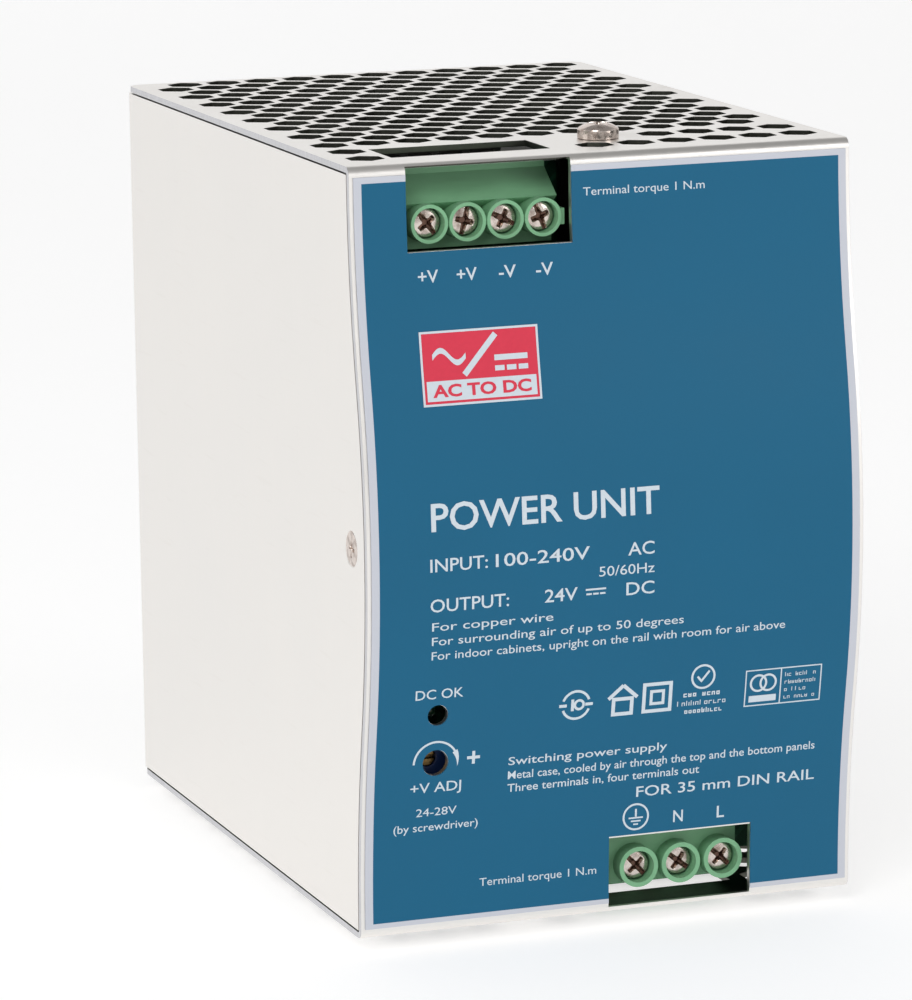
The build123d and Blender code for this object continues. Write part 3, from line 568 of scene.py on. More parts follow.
def lacquer(name, base, roughness=0.22):
    """Dipped resin: thick gloss with a slight orange peel."""
    f = Finish(name, base, roughness, specular=0.5, coat_weight=0.4, coat_roughness=0.06)
    f.colour(f.shades(f.noise(260, 3), base, 0.82, 1.14))
    f.rough(f.between(f.noise(320, 2), 0.3, 0.7, roughness - 0.05, roughness + 0.1))
    f.relief(f.noise(700, 2), 0.00008, 0.5)
    return f.material


def fibre_sheet():
    """Pressed insulating fibre: dark, calendered, with short fibres along it."""
    base = srgb(74, 70, 66)
    f = Finish("insulation_film", base, 0.55, specular=0.35)
    fibres = f.noise(1, 4, f.stretched(900, 120, 700))
    f.colour(f.shades(fibres, base, 0.8, 1.2))
    f.rough(f.between(f.noise(180, 3), 0.3, 0.7, 0.46, 0.66))
    f.relief(fibres, 0.00003, 0.5)
    return f.material


def turned_brass():
    """Turned brass: fine tool lines and a light tarnish."""
    base = srgb(128, 106, 70)
    f = Finish("rotor_brass", base, 0.3, metallic=1.0)
    tarnish = f.noise(420, 4)
    f.colour(f.mixed(f.between(tarnish, 0.45, 0.75), base, srgb(140, 108, 62)))
    f.rough(f.between(tarnish, 0.3, 0.7, 0.22, 0.42))
    f.relief(f.noise(1, 2, f.stretched(300, 5000, 300)), 0.00001, 0.5)
    return f.material


def lamp_lens():
    """Tinted diffusing epoxy of the lamp, unlit."""
    base = srgb(22, 46, 30)
    f = Finish("lamp_green", base, 0.16, specular=0.5, subsurface_weight=0.3)
    f.set("Subsurface Radius", (0.0008, 0.0015, 0.0008))
    f.colour(f.shades(f.noise(900, 2), base, 0.9, 1.1))
    f.rough(f.between(f.noise(500, 2), 0.3, 0.7, 0.12, 0.24))
    return f.material


def studio_white():
    """Matt floor paper with a faint fibre."""
    base = tuple(bpy.context.scene.supply_studio.floor)
    f = Finish("floor_paper", base, 0.8, specular=0.1)
    f.set("Emission Color", (1, 1, 1, 1))
    f.set("Emission Strength", bpy.context.scene.supply_studio.glow)
    f.colour(f.shades(f.noise(30, 3), base, 0.99, 1.01))
    return f.material


def all_finishes():
    """Every finish by the name of the record's material slot it gives."""
    return {
        "case_sheet": plated_sheet("case_sheet"),
        "cover_sheet": plated_sheet("cover_sheet", sheared=True),
        "label_film": label_film(),
        "screw_nickel": nickel(),
        "green_nylon": green_nylon(),
        "clamp_steel": zinc_steel("clamp_steel", srgb(176, 174, 170)),
        "tinned_copper": tinned_copper(),
        "board_epoxy": board_epoxy(),
        "ferrite": ferrite(),
        "copper_wire": enamelled_copper(),
        "yellow_tape": tape(),
        "black_moulding": moulding("black_moulding", srgb(34, 34, 37)),
        "capacitor_sleeve": shrink_sleeve(),
        "sink_aluminium": milled_aluminium("sink_aluminium", srgb(112, 111, 106)),
        "film_case": moulding("film_case", srgb(196, 160, 48), 0.35),
        "disc_lacquer": lacquer("disc_lacquer", srgb(36, 84, 140)),
        "fuse_ceramic": lacquer("fuse_ceramic", srgb(214, 208, 196), 0.3),
        "insulation_film": fibre_sheet(),
        "trimmer_blue": moulding("trimmer_blue", srgb(18, 44, 92), 0.4),
        "rotor_brass": turned_brass(),
        "lamp_green": lamp_lens(),
        "clip_steel": zinc_steel("clip_steel", srgb(206, 204, 200), 260),
        "latch_nylon": moulding("latch_nylon", srgb(40, 41, 44), 0.5),
        "spring_steel": zinc_steel("spring_steel", srgb(170, 168, 164), 1500),
        "recess_grime": recess_grime(),
    }


FINISHES = {}


# ---------------------------------------------------------------- shells
class Shell:
    """Points, faces and finish numbers of one piece, gathered surface by surface."""

    def __init__(self):
        self.points = []
        self.faces = []
        self.marks = []
        self.count = 0

    def store(self, points, faces, mark):
        points = np.asarray(points, float).reshape(-1, 3)
        self.points.append(points)
        self.faces.extend((np.asarray(faces) + self.count).tolist())
        self.marks.append(np.broadcast_to(mark, (len(faces),)))
        self.count += len(points)

    def grid(self, points, ring_rows=False, ring_columns=False, mark=0):
        """Quads between neighbours of a (rows, columns, 3) grid, closed where a ring is asked."""
        rows, columns = points.shape[:2]
        i = np.arange(rows if ring_rows else rows - 1)[:, None]
        j = np.arange(columns if ring_columns else columns - 1)[None, :]
        below, right = (i + 1) % rows, (j + 1) % columns
        corners = (i * columns + j, i * columns + right, below * columns + right, below * columns + j)
        quads = np.stack(np.broadcast_arrays(*corners), axis=-1).reshape(-1, 4)
        self.store(points, quads, np.asarray(mark).reshape(-1) if np.ndim(mark) else mark)

    def cap(self, ring, mark=0):
        """One face over a flat ring of points."""
        self.store(ring, np.arange(len(ring))[None, :], mark)

    def turned(self, profile, centre, axis, steps=32, mark=0):
        """Profile of (radius, distance along the axis) turned round it: centre + distance *
        axis + radius * (cos t * u + sin t * v); a radius of 0 closes the end."""
        axis = np.asarray(axis, float)
        u = np.roll(axis, 1)
        v = np.cross(axis, u)
        t = np.linspace(0, 2 * pi, steps, endpoint=False)
        radius, along = np.asarray(profile, float).T[:, :, None, None]
        round_ = np.cos(t)[:, None] * u + np.sin(t)[:, None] * v
        self.grid(place(*centre) + (along * axis + radius * round_) * MM, ring_columns=True, mark=mark)

    def tube(self, path, radius, side, sides=8, mark=0, closed=False):
        """Circle carried along a path: point + radius * (cos t * n + sin t * b), n being the
        given side direction made square to the path and b square to both; ends are capped."""
        path = np.asarray(path, float)
        ahead = np.gradient(path, axis=0)
        if closed:
            ahead = np.roll(path, -1, axis=0) - np.roll(path, 1, axis=0)
        ahead /= np.linalg.norm(ahead, axis=1, keepdims=True)
        n = side - (side * ahead).sum(1, keepdims=True) * ahead
        n /= np.linalg.norm(n, axis=1, keepdims=True)
        b = np.cross(ahead, n)
        t = np.linspace(0, 2 * pi, sides, endpoint=False)[None, :, None]
        rings = path[:, None] + radius * (np.cos(t) * n[:, None] + np.sin(t) * b[:, None])
        rings = rings * MM + place(0, 0, 0)
        self.grid(rings, ring_rows=closed, ring_columns=True, mark=mark)
        if not closed:
            self.cap(rings[0], mark)
            self.cap(rings[-1], mark)

    def boxes(self, low, high, mark=0):
        """Axis aligned boxes from (n, 3) arrays of their two corners."""
        low, high = np.atleast_2d(low), np.atleast_2d(high)
        pick = np.array([
            [0, 0, 0], [1, 0, 0], [1, 1, 0], [0, 1, 0], [0, 0, 1], [1, 0, 1], [1, 1, 1], [0, 1, 1]])
        corners = np.where(pick[None], high[:, None], low[:, None])
        sides = np.array([[0, 3, 2, 1], [4, 5, 6, 7], [0, 1, 5, 4], [1, 2, 6, 5], [2, 3, 7, 6], [3, 0, 4, 7]])
        faces = (sides[None] + 8 * np.arange(len(low))[:, None, None]).reshape(-1, 4)
        self.store(place(*np.moveaxis(corners, -1, 0)), faces, mark)

    def mesh(self, name, closed=True):
        """The mesh, with doubles merged and, on closed shells, faces turned outwards."""
        mesh = bpy.data.meshes.new(name)
        mesh.from_pydata(np.concatenate(self.points), [], self.faces)
        mesh.polygons.foreach_set("material_index", np.concatenate(self.marks).astype(np.int32))
        work = bmesh.new()
        work.from_mesh(mesh)
        bmesh.ops.remove_doubles(work, verts=work.verts, dist=2e-7)
        bmesh.ops.dissolve_degenerate(work, edges=work.edges, dist=1e-7)
        if closed:
            bmesh.ops.recalc_face_normals(work, faces=work.faces)
        work.to_mesh(mesh)
        work.free()
        return mesh


def add_piece(name, mesh, finishes, body, replaces=(), crease=35):
    """Put a mesh in the scene as a piece that rides on a body and stands for CAD nodes."""
    piece = bpy.data.objects.new(name, mesh)
    bpy.context.scene.collection.objects.link(piece)
    for finish in finishes:
        mesh.materials.append(finish)
    mesh.shade_smooth()
    mesh.set_sharp_from_angle(angle=radians(crease))
    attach(piece, body)
    if replaces:
        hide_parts(*replaces)
    return piece


def rounded_copy(node, edge, crease=30, segments=2):
    """A CAD node's shape as one joined mesh whose edges are rounded by a bevel."""
    source = frame["nodes"][node]
    work = bmesh.new()
    work.from_mesh(source.data)
    bmesh.ops.remove_doubles(work, verts=work.verts, dist=2e-6)
    bmesh.ops.dissolve_limit(work, angle_limit=radians(1), verts=work.verts, edges=work.edges)
    mesh = bpy.data.meshes.new(f"{node}_moulded")
    work.to_mesh(mesh)
    work.free()
    slot = source.data.materials[0].name
    body = source["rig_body"]
    piece = add_piece(f"{node}_finished", mesh, [FINISHES[slot]], body, [node], crease)
    bevel = piece.modifiers.new("Edges", "BEVEL")
    bevel.width = edge
    bevel.segments = segments
    bevel.limit_method = "ANGLE"
    bevel.angle_limit = radians(crease)
    bevel.harden_normals = True
    return piece


# ---------------------------------------------------------------- print on the front
def slab(shell, x, z, lift, thick, mark=0, ring=False):
    """Patch of ink on the curved front: grids x, z (rows, columns) laid at front_depth(z)
    minus lift, and given a thickness by a second layer joined round the rim."""
    x, z = np.broadcast_arrays(np.asarray(x, float), z)
    depth = front_depth(z)
    upper = place(x, depth - lift - thick, z)
    lower = place(x, depth - lift, z)[:, ::-1]
    loops = np.concatenate([upper, lower], axis=1)
    shell.grid(loops, ring_rows=ring, ring_columns=True, mark=mark)
    if not ring:
        shell.cap(loops[0], mark)
        shell.cap(loops[-1], mark)


def bar(shell, x0, x1, z0, z1, lift, thick, mark=0):
    """Straight bar of ink that follows the curve upwards in steps of about a millimetre."""
    rows = max(2, int(abs(z1 - z0)) + 2)
    slab(shell, np.array([[x0, x1]]), np.linspace(z0, z1, rows)[:, None], lift, thick, mark)


def stroke(shell, x0, z0, x1, z1, width, lift, thick, mark=0):
    """Slanting stroke of ink: a band of constant width between two points."""
    steps = np.linspace(0, 1, max(2, int(abs(z1 - z0)) + 2))[:, None]
    run = np.array([x1 - x0, z1 - z0])
    across = np.array([-run[1], run[0]]) / np.linalg.norm(run) * width / 2
    side = np.array([[-1.0, 1.0]])
    slab(shell, x0 + run[0] * steps + across[0] * side, z0 + run[1] * steps + across[1] * side,
         lift, thick, mark)


def band(shell, x, z, radius, start, end, width, lift, thick, mark=0):
    """Arc of ink: angle from start to end in degrees, counted from +X towards +Z, its width
    a number or an array that changes along it; a full turn is joined up."""
    ring = abs(end - start) >= 360
    count = max(6, int(abs(end - start) / 8))
    t = np.radians(np.linspace(start, end, count, endpoint=not ring))[:, None]
    width = np.interp(np.linspace(0, 1, count), np.linspace(0, 1, np.size(width)), np.ravel(width))
    reach = radius + width[:, None] * np.array([[-0.5, 0.5]])
    slab(shell, x + reach * np.cos(t), z + reach * np.sin(t), lift, thick, mark, ring)


def greeked(shell, x0, x1, z, cap, weight, lift, thick, mark=0, seed=3):
    """A line of small print without words: each letter is a stem with a second stem, an arch
    or a foot, chosen by a fixed sequence, and gaps part it into words."""
    pitch = cap * 0.86
    count = int((x1 - x0) / pitch)
    pitch = (x1 - x0) / count
    i = np.arange(count)
    kind = (i * 7 + seed * 5 + i * i * 3) % 11
    kept = (i * 5 + seed + (i // 6) * 3) % 7 != 4
    i, kind = i[kept], kind[kept]
    left = x0 + i * pitch
    wide = pitch * 0.72
    low = np.full(len(i), float(z))
    tall = np.where(kind % 4 == 1, cap, cap * 0.72)
    stems = np.stack([left, low, left + weight, low + tall], axis=1)
    second = kind % 3 != 1
    more = np.stack([left + wide - weight, low, left + wide, low + cap * 0.72], axis=1)[second]
    arch = kind % 2 == 0
    tops = np.stack([left, low + cap * 0.72 - weight, left + wide, low + cap * 0.72], axis=1)[arch]
    feet = np.stack([left, low, left + wide, low + weight], axis=1)[kind % 5 > 1]
    middle = np.stack([left, low + cap * 0.34, left + wide, low + cap * 0.34 + weight], axis=1)[kind % 6 == 3]
    rects = np.concatenate([stems, more, tops, feet, middle])
    # One prism for each rectangle: its four corners on the curve, near and far side.
    xs = rects[:, [0, 2, 2, 0]]
    zs = rects[:, [1, 1, 3, 3]]
    depth = front_depth(zs)
    near = place(xs, depth - lift - thick, zs)
    far = place(xs, depth - lift, zs)
    points = np.concatenate([near, far], axis=1)
    sides = np.array([[0, 1, 2, 3], [7, 6, 5, 4], [0, 4, 5, 1], [1, 5, 6, 2], [2, 6, 7, 3], [3, 7, 4, 0]])
    faces = (sides[None] + 8 * np.arange(len(rects))[:, None, None]).reshape(-1, 4)
    shell.store(points, faces, mark)


def outline_of(words, bold):
    """Filled letter shapes of a text, one unit high, as points and faces."""
    curve = bpy.data.curves.new("words", "FONT")
    curve.body = words
    curve.extrude = 0.5
    curve.offset = bold
    curve.resolution_u = 3
    carrier = bpy.data.objects.new("words", curve)
    bpy.context.scene.collection.objects.link(carrier)
    view = bpy.context.evaluated_depsgraph_get()
    flat = bpy.data.meshes.new_from_object(carrier.evaluated_get(view))
    points = np.empty(len(flat.vertices) * 3, np.float32)
    flat.vertices.foreach_get("co", points)
    faces = [tuple(p.vertices) for p in flat.polygons]
    bpy.data.objects.remove(carrier)
    bpy.data.curves.remove(curve)
    bpy.data.meshes.remove(flat)
    return points.reshape(-1, 3).astype(float), faces


def lettering(shell, words, x0, x1, z, cap, lift, thick, bold=0.0, mark=0):
    """Raised letters between x0 and x1 on a baseline z: the flat letter's x is stretched to
    fit, its height scaled to the capital height, and its depth laid on the curved front."""
    capital, _ = outline_of("H", bold)
    points, faces = outline_of(words, bold)
    low, high = points[:, 0].min(), points[:, 0].max()
    x = x0 + (points[:, 0] - low) * (x1 - x0) / (high - low)
    up = z + (points[:, 1] - capital[:, 1].min()) * cap / np.ptp(capital[:, 1])
    raised = lift + thick * (points[:, 2] > 0)
    placed = place(x, front_depth(up) - raised, up)
    shell.points.append(placed)
    shell.faces.extend([tuple(i + shell.count for i in face) for face in faces])
    shell.marks.append(np.full(len(faces), mark))
    shell.count += len(placed)


def left(x):
    """x counted from the left edge of the case."""
    return x - HALF_WIDTH


class SUPPLY_OT_finishes(bpy.types.Operator):
    """Make every finish and give the CAD nodes theirs"""

    bl_idname = "supply.finishes"
    bl_label = "Finishes"

    def execute(self, context):
        plain = list(bpy.data.materials)
        FINISHES.update(all_finishes())
        for node in frame["nodes"].values():
            for entry in node.material_slots:
                entry.material = FINISHES[entry.material.name.split(".")[0]]
        frame["nodes"]["cover"].material_slots[0].material = FINISHES["cover_sheet"]
        for material in plain:
            bpy.data.materials.remove(material)
        for slot, finish in FINISHES.items():
            finish.name = slot
        return {"FINISHED"}


class SUPPLY_OT_print(bpy.types.Operator):
    """Print the label: ratings, terminal marks, fine print, symbols and the badge"""

    bl_idname = "supply.front_print"
    bl_label = "Front print"

    def execute(self, context):
        look = context.scene.supply_label
        thick = look.ink_thickness / MM
        lift = 0.004
        white = Shell()
        words = (
            ("+V", 10.9, 14.3, 106.3, 2.0, 0.01),
            ("+V", 17.4, 20.8, 106.3, 2.0, 0.01),
            ("-V", 24.5, 27.4, 106.3, 2.0, 0.01),
            ("-V", 30.8, 33.7, 106.3, 2.0, 0.01),
            ("POWER UNIT", 10.8, 49.75, 67.25, 4.5, 0.012),
            ("INPUT:", 10.5, 20.2, 60.75, 2.1, 0.006),
            ("100-240V", 21.55, 37.6, 60.75, 2.1, 0.006),
            ("AC", 44.2, 48.75, 60.75, 2.1, 0.006),
            ("50/60Hz", 39.2, 48.75, 57.7, 1.6, 0.0),
            ("OUTPUT:", 10.5, 23.8, 54.2, 2.1, 0.006),
            ("24V", 29.9, 35.5, 54.2, 2.1, 0.006),
            ("DC", 43.9, 48.75, 54.2, 2.1, 0.006),
            ("DC OK", 8.3, 16.4, 39.75, 1.6, 0.004),
            ("+V ADJ", 8.1, 16.75, 23.8, 1.65, 0.004),
            ("24-28V", 9.2, 16.1, 19.8, 1.3, 0.0),
            ("FOR 35 mm DIN RAIL", 47.25, 78.75, 19.4, 1.75, 0.004),
            ("N", 53.9, 55.6, 14.4, 2.0, 0.01),
            ("L", 61.6, 62.9, 14.4, 2.0, 0.01),
            ("Terminal torque 1 N.m", 39.2, 60.1, 118.5, 1.3, 0.0),
            ("Terminal torque 1 N.m", 20.2, 40.5, 7.0, 1.3, 0.0),
            ("For copper wire", 10.8, 31.4, 51.1, 1.35, 0.002),
            ("For surrounding air of up to 50 degrees", 10.8, 54.0, 48.7, 1.35, 0.002),
            ("For indoor cabinets, upright on the rail with room for air above",
             10.8, 71.9, 46.3, 1.35, 0.002),
            ("(by screwdriver)", 5.4, 19.8, 17.3, 1.3, 0.002),
            ("Switching power supply", 24.75, 52.3, 27.1, 1.35, 0.004),
            ("Metal case, cooled by air through the top and the bottom panels",
             24.75, 78.6, 24.7, 1.35, 0.004),
            ("Three terminals in, four terminals out", 24.75, 58.2, 22.5, 1.35, 0.004),
        )
        for text, x0, x1, z, cap, bold in words:
            lettering(white, text, left(x0), left(x1), z, cap, lift, thick, bold)
        for x0, x1, z, cap, weight, seed in (
            (54.6, 61.2, 35.9, 0.9, 0.2, 3),
            (53.6, 62.3, 34.4, 0.85, 0.14, 9),
            (54.2, 61.7, 33.0, 0.85, 0.18, 4),
            (72.4, 78.0, 37.9, 0.7, 0.11, 1),
            (72.4, 78.0, 36.6, 0.7, 0.11, 2),
            (72.4, 77.0, 35.3, 0.7, 0.11, 6),
            (72.4, 78.0, 34.0, 0.7, 0.11, 8),
        ):
            greeked(white, left(x0), left(x1), z, cap, weight, lift, thick, seed=seed)
        self.direct_current(white, left(36.9), left(40.4), 55.3, lift, thick)
        self.adjust_arrow(white, lift, thick)
        self.neutral_marks(white, lift, thick)
        self.earth(white, left(47.3), 16.0, 2.15, lift, thick)
        finish = ink("print_white", tuple(look.ink))
        add_piece("front_print", white.mesh("front_print"), [finish], "case", crease=30)
        self.badge(look, thick)
        return {"FINISHED"}

    def direct_current(self, shell, x0, x1, z, lift, thick):
        """Solid bar over three dashes."""
        bar(shell, x0, x1, z + 0.25, z + 0.55, lift, thick)
        third = (x1 - x0) / 3
        for i in range(3):
            bar(shell, x0 + third * i + 0.12, x0 + third * (i + 1) - 0.12, z - 0.5, z - 0.2, lift, thick)

    def adjust_arrow(self, shell, lift, thick):
        """Turning arrow round the adjusting hole and its plus sign."""
        x, z = left(12.25), 28.6
        band(shell, x, z, 3.75, 178, 30, 0.34, lift, thick)
        band(shell, x, z, 3.75, 31, -10, np.array([0.95, 0.02]), lift, thick)
        bar(shell, left(17.6), left(19.8), 28.85, 29.35, lift, thick)
        bar(shell, left(18.45), left(18.95), 28.0, 28.85, lift, thick)
        bar(shell, left(18.45), left(18.95), 29.35, 30.2, lift, thick)

    def neutral_marks(self, shell, lift, thick):
        """Plain signs where approval marks would stand: a split ring with a number, a house for
        indoor use, a double square, a ringed tick and a panel with a coil pair."""
        x, z = left(35.9), 36.4
        band(shell, x, z, 2.35, 20, 160, 0.42, lift, thick)
        band(shell, x, z, 2.35, 200, 340, 0.42, lift, thick)
        bar(shell, x - 2.9, x - 1.6, z - 0.25, z + 0.25, lift, thick)
        bar(shell, x + 1.6, x + 2.9, z - 0.25, z + 0.25, lift, thick)
        bar(shell, x - 0.85, x - 0.35, z - 1.0, z + 1.0, lift, thick)
        band(shell, x + 0.55, z, 0.75, 0, 360, 0.42, lift, thick)
        x, z = left(44.0), 36.4
        for a, b in (((-2.5, 0.4), (0, 2.6)), ((2.5, 0.4), (0, 2.6))):
            stroke(shell, x + a[0], z + a[1], x + b[0], z + b[1], 0.62, lift, thick)
        self.frame(shell, x - 1.9, x + 1.9, z - 2.6, z + 0.6, 0.62, lift, thick)
        x = left(50.0)
        self.frame(shell, x - 2.6, x + 2.6, z - 2.6, z + 2.6, 0.6, lift, thick)
        self.frame(shell, x - 1.3, x + 1.3, z - 1.3, z + 1.3, 0.5, lift, thick)
        x, z = left(57.9), 39.2
        band(shell, x, z, 1.95, 0, 360, 0.36, lift, thick)
        stroke(shell, x - 1.0, z + 0.1, x - 0.25, z - 0.8, 0.36, lift, thick)
        stroke(shell, x - 0.4, z - 0.85, x + 1.05, z + 0.95, 0.36, lift, thick)
        x0, x1, z0, z1 = left(65.4), left(78.9), 33.2, 39.5
        self.frame(shell, x0, x1, z0, z1, 0.2, lift, thick)
        bar(shell, left(71.6), left(71.8), z0 + 0.2, z1 - 0.2, lift, thick)
        bar(shell, left(66.2), left(71.0), 33.9, 35.0, lift, thick)
        for x in (67.75, 69.45):
            band(shell, left(x), 37.15, 1.35, 0, 360, 0.36, lift + 0.01 * (x - 67), thick)

    def frame(self, shell, x0, x1, z0, z1, width, lift, thick, mark=0):
        """Rectangle drawn as four bars."""
        bar(shell, x0, x1, z0, z0 + width, lift, thick, mark)
        bar(shell, x0, x1, z1 - width, z1, lift, thick, mark)
        bar(shell, x0, x0 + width, z0 + width, z1 - width, lift, thick, mark)
        bar(shell, x1 - width, x1, z0 + width, z1 - width, lift, thick, mark)

    def earth(self, shell, x, z, radius, lift, thick):
        """Protective earth: three shrinking bars under a stem, in a ring."""
        band(shell, x, z, radius, 0, 360, 0.32, lift, thick)
        bar(shell, x - 0.16, x + 0.16, z, z + 1.35, lift, thick)
        for i, half in enumerate((1.25, 0.85, 0.42)):
            bar(shell, x - half, x + half, z - 0.3 - 0.55 * i, z - 0.05 - 0.55 * i, lift, thick)

    def badge(self, look, thick):
        """Red badge: a converter sign over a white band lettered AC TO DC in red."""
        shell = Shell()
        x0, x1, z0, z1 = left(10.5), left(30.5), 87.0, 98.7
        bar(shell, x0, x1, z0, z1, 0.004, thick, 0)
        bar(shell, x0 + 0.75, x1 - 0.75, z0 + 0.75, z0 + 3.9, 0.01 + thick, thick, 1)
        lettering(shell, "AC TO DC", x0 + 1.7, x1 - 1.7, z0 + 1.35, 1.95, 0.016 + 2 * thick, thick, 0.03)
        self.frame(shell, x0, x1, z0, z1, 0.35, 0.01 + thick, thick, 1)
        low, high = z0 + 4.6, z1 - 1.0
        stroke(shell, x0 + 7.2, low, x0 + 12.8, high, 0.95, 0.01 + thick, thick, 1)
        wave = np.linspace(0, 1, 25)[:, None]
        side = np.array([[-0.45, 0.45]])
        slab(shell, x0 + 2.0 + 5.6 * wave + 0 * side, 94.6 + 1.0 * np.sin(2 * pi * wave) + side,
             0.01 + thick, thick, 1)
        bar(shell, x0 + 12.4, x0 + 18.0, 93.5, 94.4, 0.01 + thick, thick, 1)
        for i in range(3):
            bar(shell, x0 + 12.4 + 2.0 * i, x0 + 14.0 + 2.0 * i, 91.9, 92.7, 0.01 + thick, thick, 1)
        red = ink("print_red", tuple(look.badge))
        light = ink("print_badge_white", tuple(look.ink))
        add_piece("front_badge", shell.mesh("front_badge"), [red, light], "case", crease=30)


# ---------------------------------------------------------------- terminals and fasteners
def drive_recess(u, v, slot, wing, reach, depth):
    """Depth of a screwdriver's recess at (u, v) on a head: the deepest of a round middle, a
    cross whose wings rise outwards and a slot right across; its walls lean over a short run."""
    lean = 0.3
    wall = lambda room: np.clip(room / lean, 0, 1)
    near, far = np.minimum(np.abs(u), np.abs(v)), np.maximum(np.abs(u), np.abs(v))
    cross = wall(wing - near) * wall(reach - far) * depth * (1 - 0.5 * far / reach)
    middle = wall(wing * 1.7 - np.hypot(u, v)) * depth
    return np.maximum(np.maximum(cross, middle), wall(slot - np.abs(v)) * depth * 0.62)


def screw(shell, centre, axis, radius, thick, crown, shank, length, turn, drive, columns=112):
    """Screw round an axis that points into the work, as rings of (radius, distance): over the
    head, whose distance grows by crown * (r / radius) ** 2.6 and by the recess, round its
    rim, under it and down a ridged thread of even pitch."""
    t = np.linspace(0, 2 * pi, columns, endpoint=False)[None]
    r = radius * 0.97 * np.linspace(0, 1, 34)[:, None]
    angle = t - radians(turn)
    recess = drive_recess(r * np.cos(angle), r * np.sin(angle), *drive)
    head = crown * (r / radius) ** 2.6 + recess
    ridges = np.arange(thick + 0.3, length - 0.6, 0.24)
    ridge_radius = shank - 0.14 * (np.arange(len(ridges)) % 2)
    rim = [(radius, crown + 0.12), (radius, thick - 0.08), (radius - 0.08, thick), (shank, thick)]
    tail = [(shank * 0.7, length), (0, length)]
    rest = np.array([*rim, *np.stack([ridge_radius, ridges], axis=1), *tail])
    reach = np.concatenate([
        np.broadcast_to(r, head.shape), np.broadcast_to(rest[:, :1], (len(rest), columns))])
    along = np.concatenate([head, np.broadcast_to(rest[:, 1:], (len(rest), columns))])
    axis = np.asarray(axis, float)
    u = np.roll(axis, 1)
    v = np.cross(axis, u)
    round_ = np.cos(t)[..., None] * u + np.sin(t)[..., None] * v
    grid = place(*centre) + (along[..., None] * axis + reach[..., None] * round_) * MM
    # Faces deep in a recess take the second finish: painted shade with a brown film of grime.
    sunk = np.zeros(reach.shape, bool)
    sunk[: len(head)] = recess > drive[3] * 0.55
    dark = sunk[:-1] & sunk[1:]
    shell.grid(grid, ring_columns=True, mark=dark.astype(int))


class SUPPLY_OT_terminals(bpy.types.Operator):
    """Round the moulded edges of the terminal blocks and turn their screws"""

    bl_idname = "supply.terminals"
    bl_label = "Terminal blocks"

    def execute(self, context):
        edge = context.scene.supply_terminals.edge
        for node in ("output_block", "input_block"):
            rounded_copy(node, edge)
        for node in frame["nodes"]:
            if node.startswith(("output_clamp", "input_clamp")):
                rounded_copy(node, 0.00012)
        rows = (
            ("output", -28.85, 6.4, 115.2, 1.2, (38, -14, 63, 22), (0.4, 0.46, 1.6, 1.2)),
            ("input", 6.0, 7.45, 6.8, 1.45, (42, 52, 47), (0.44, 0.42, 1.65, 1.2)),
        )
        for side, first, pitch, z, shank, turns, drive in rows:
            for i, turn in enumerate(turns):
                node = f"{side}_screw_{i + 1}"
                shell = Shell()
                screw(shell, (first + pitch * i, 2.9, z), (0, 1, 0), 2.25, 1.5, 0.22, shank, 9.15,
                      -turn, drive)
                add_piece(
                    f"{node}_turned", shell.mesh(node), [FINISHES["screw_nickel"], FINISHES["recess_grime"]],
                    node, [node], 24,
                )
        return {"FINISHED"}


class SUPPLY_OT_hardware(bpy.types.Operator):
    """Turn the case screws and round the edges of brackets, clip, latch and board parts"""

    bl_idname = "supply.hardware"
    bl_label = "Hardware"

    def execute(self, context):
        shell = Shell()
        drive = (0.0, 0.42, 1.75, 1.5)
        for x, face, out, turn in ((5.85, HEIGHT + 0.05, 1, 25), (-12.0, -0.05, -1, 50)):
            axis = (0, 0, -out)
            screw(shell, (x, 17.0, face + out * 2.6), axis, 3.4, 2.6, 1.05, 1.45, 8.6, turn, drive)
        finishes = [FINISHES["screw_nickel"], FINISHES["recess_grime"]]
        add_piece("case_screws_turned", shell.mesh("case_screws"), finishes, "case",
                  ["case_screws"], 24)
        shell = Shell()
        drive = (0.0, 0.36, 1.5, 1.1)
        for side in (-1, 1):
            axis = (-side, 0, 0)
            screw(shell, (side * HALF_WIDTH, 1.7, 64.0), axis, 2.85, 0.3, 0.05, 1.45, 6.4, 8, drive)
        add_piece("side_screws_turned", shell.mesh("side_screws"), finishes, "case",
                  ["side_screws"], 24)
        edges = {
            "rail_clip": 0.0002,
            "rail_latch": 0.0003,
            "trimmer_body": 0.0002,
            "trimmer_rotor": 0.0001,
            "transformer_core": 0.0003,
            "transformer_bobbin": 0.0002,
            "primary_heat_sink": 0.0002,
            "secondary_heat_sink": 0.0002,
            "board_link": 0.0002,
            "power_transistors": 0.0001,
            "rectifier_diodes": 0.0001,
        }
        for node, edge in edges.items():
            rounded_copy(node, edge)
        return {"FINISHED"}


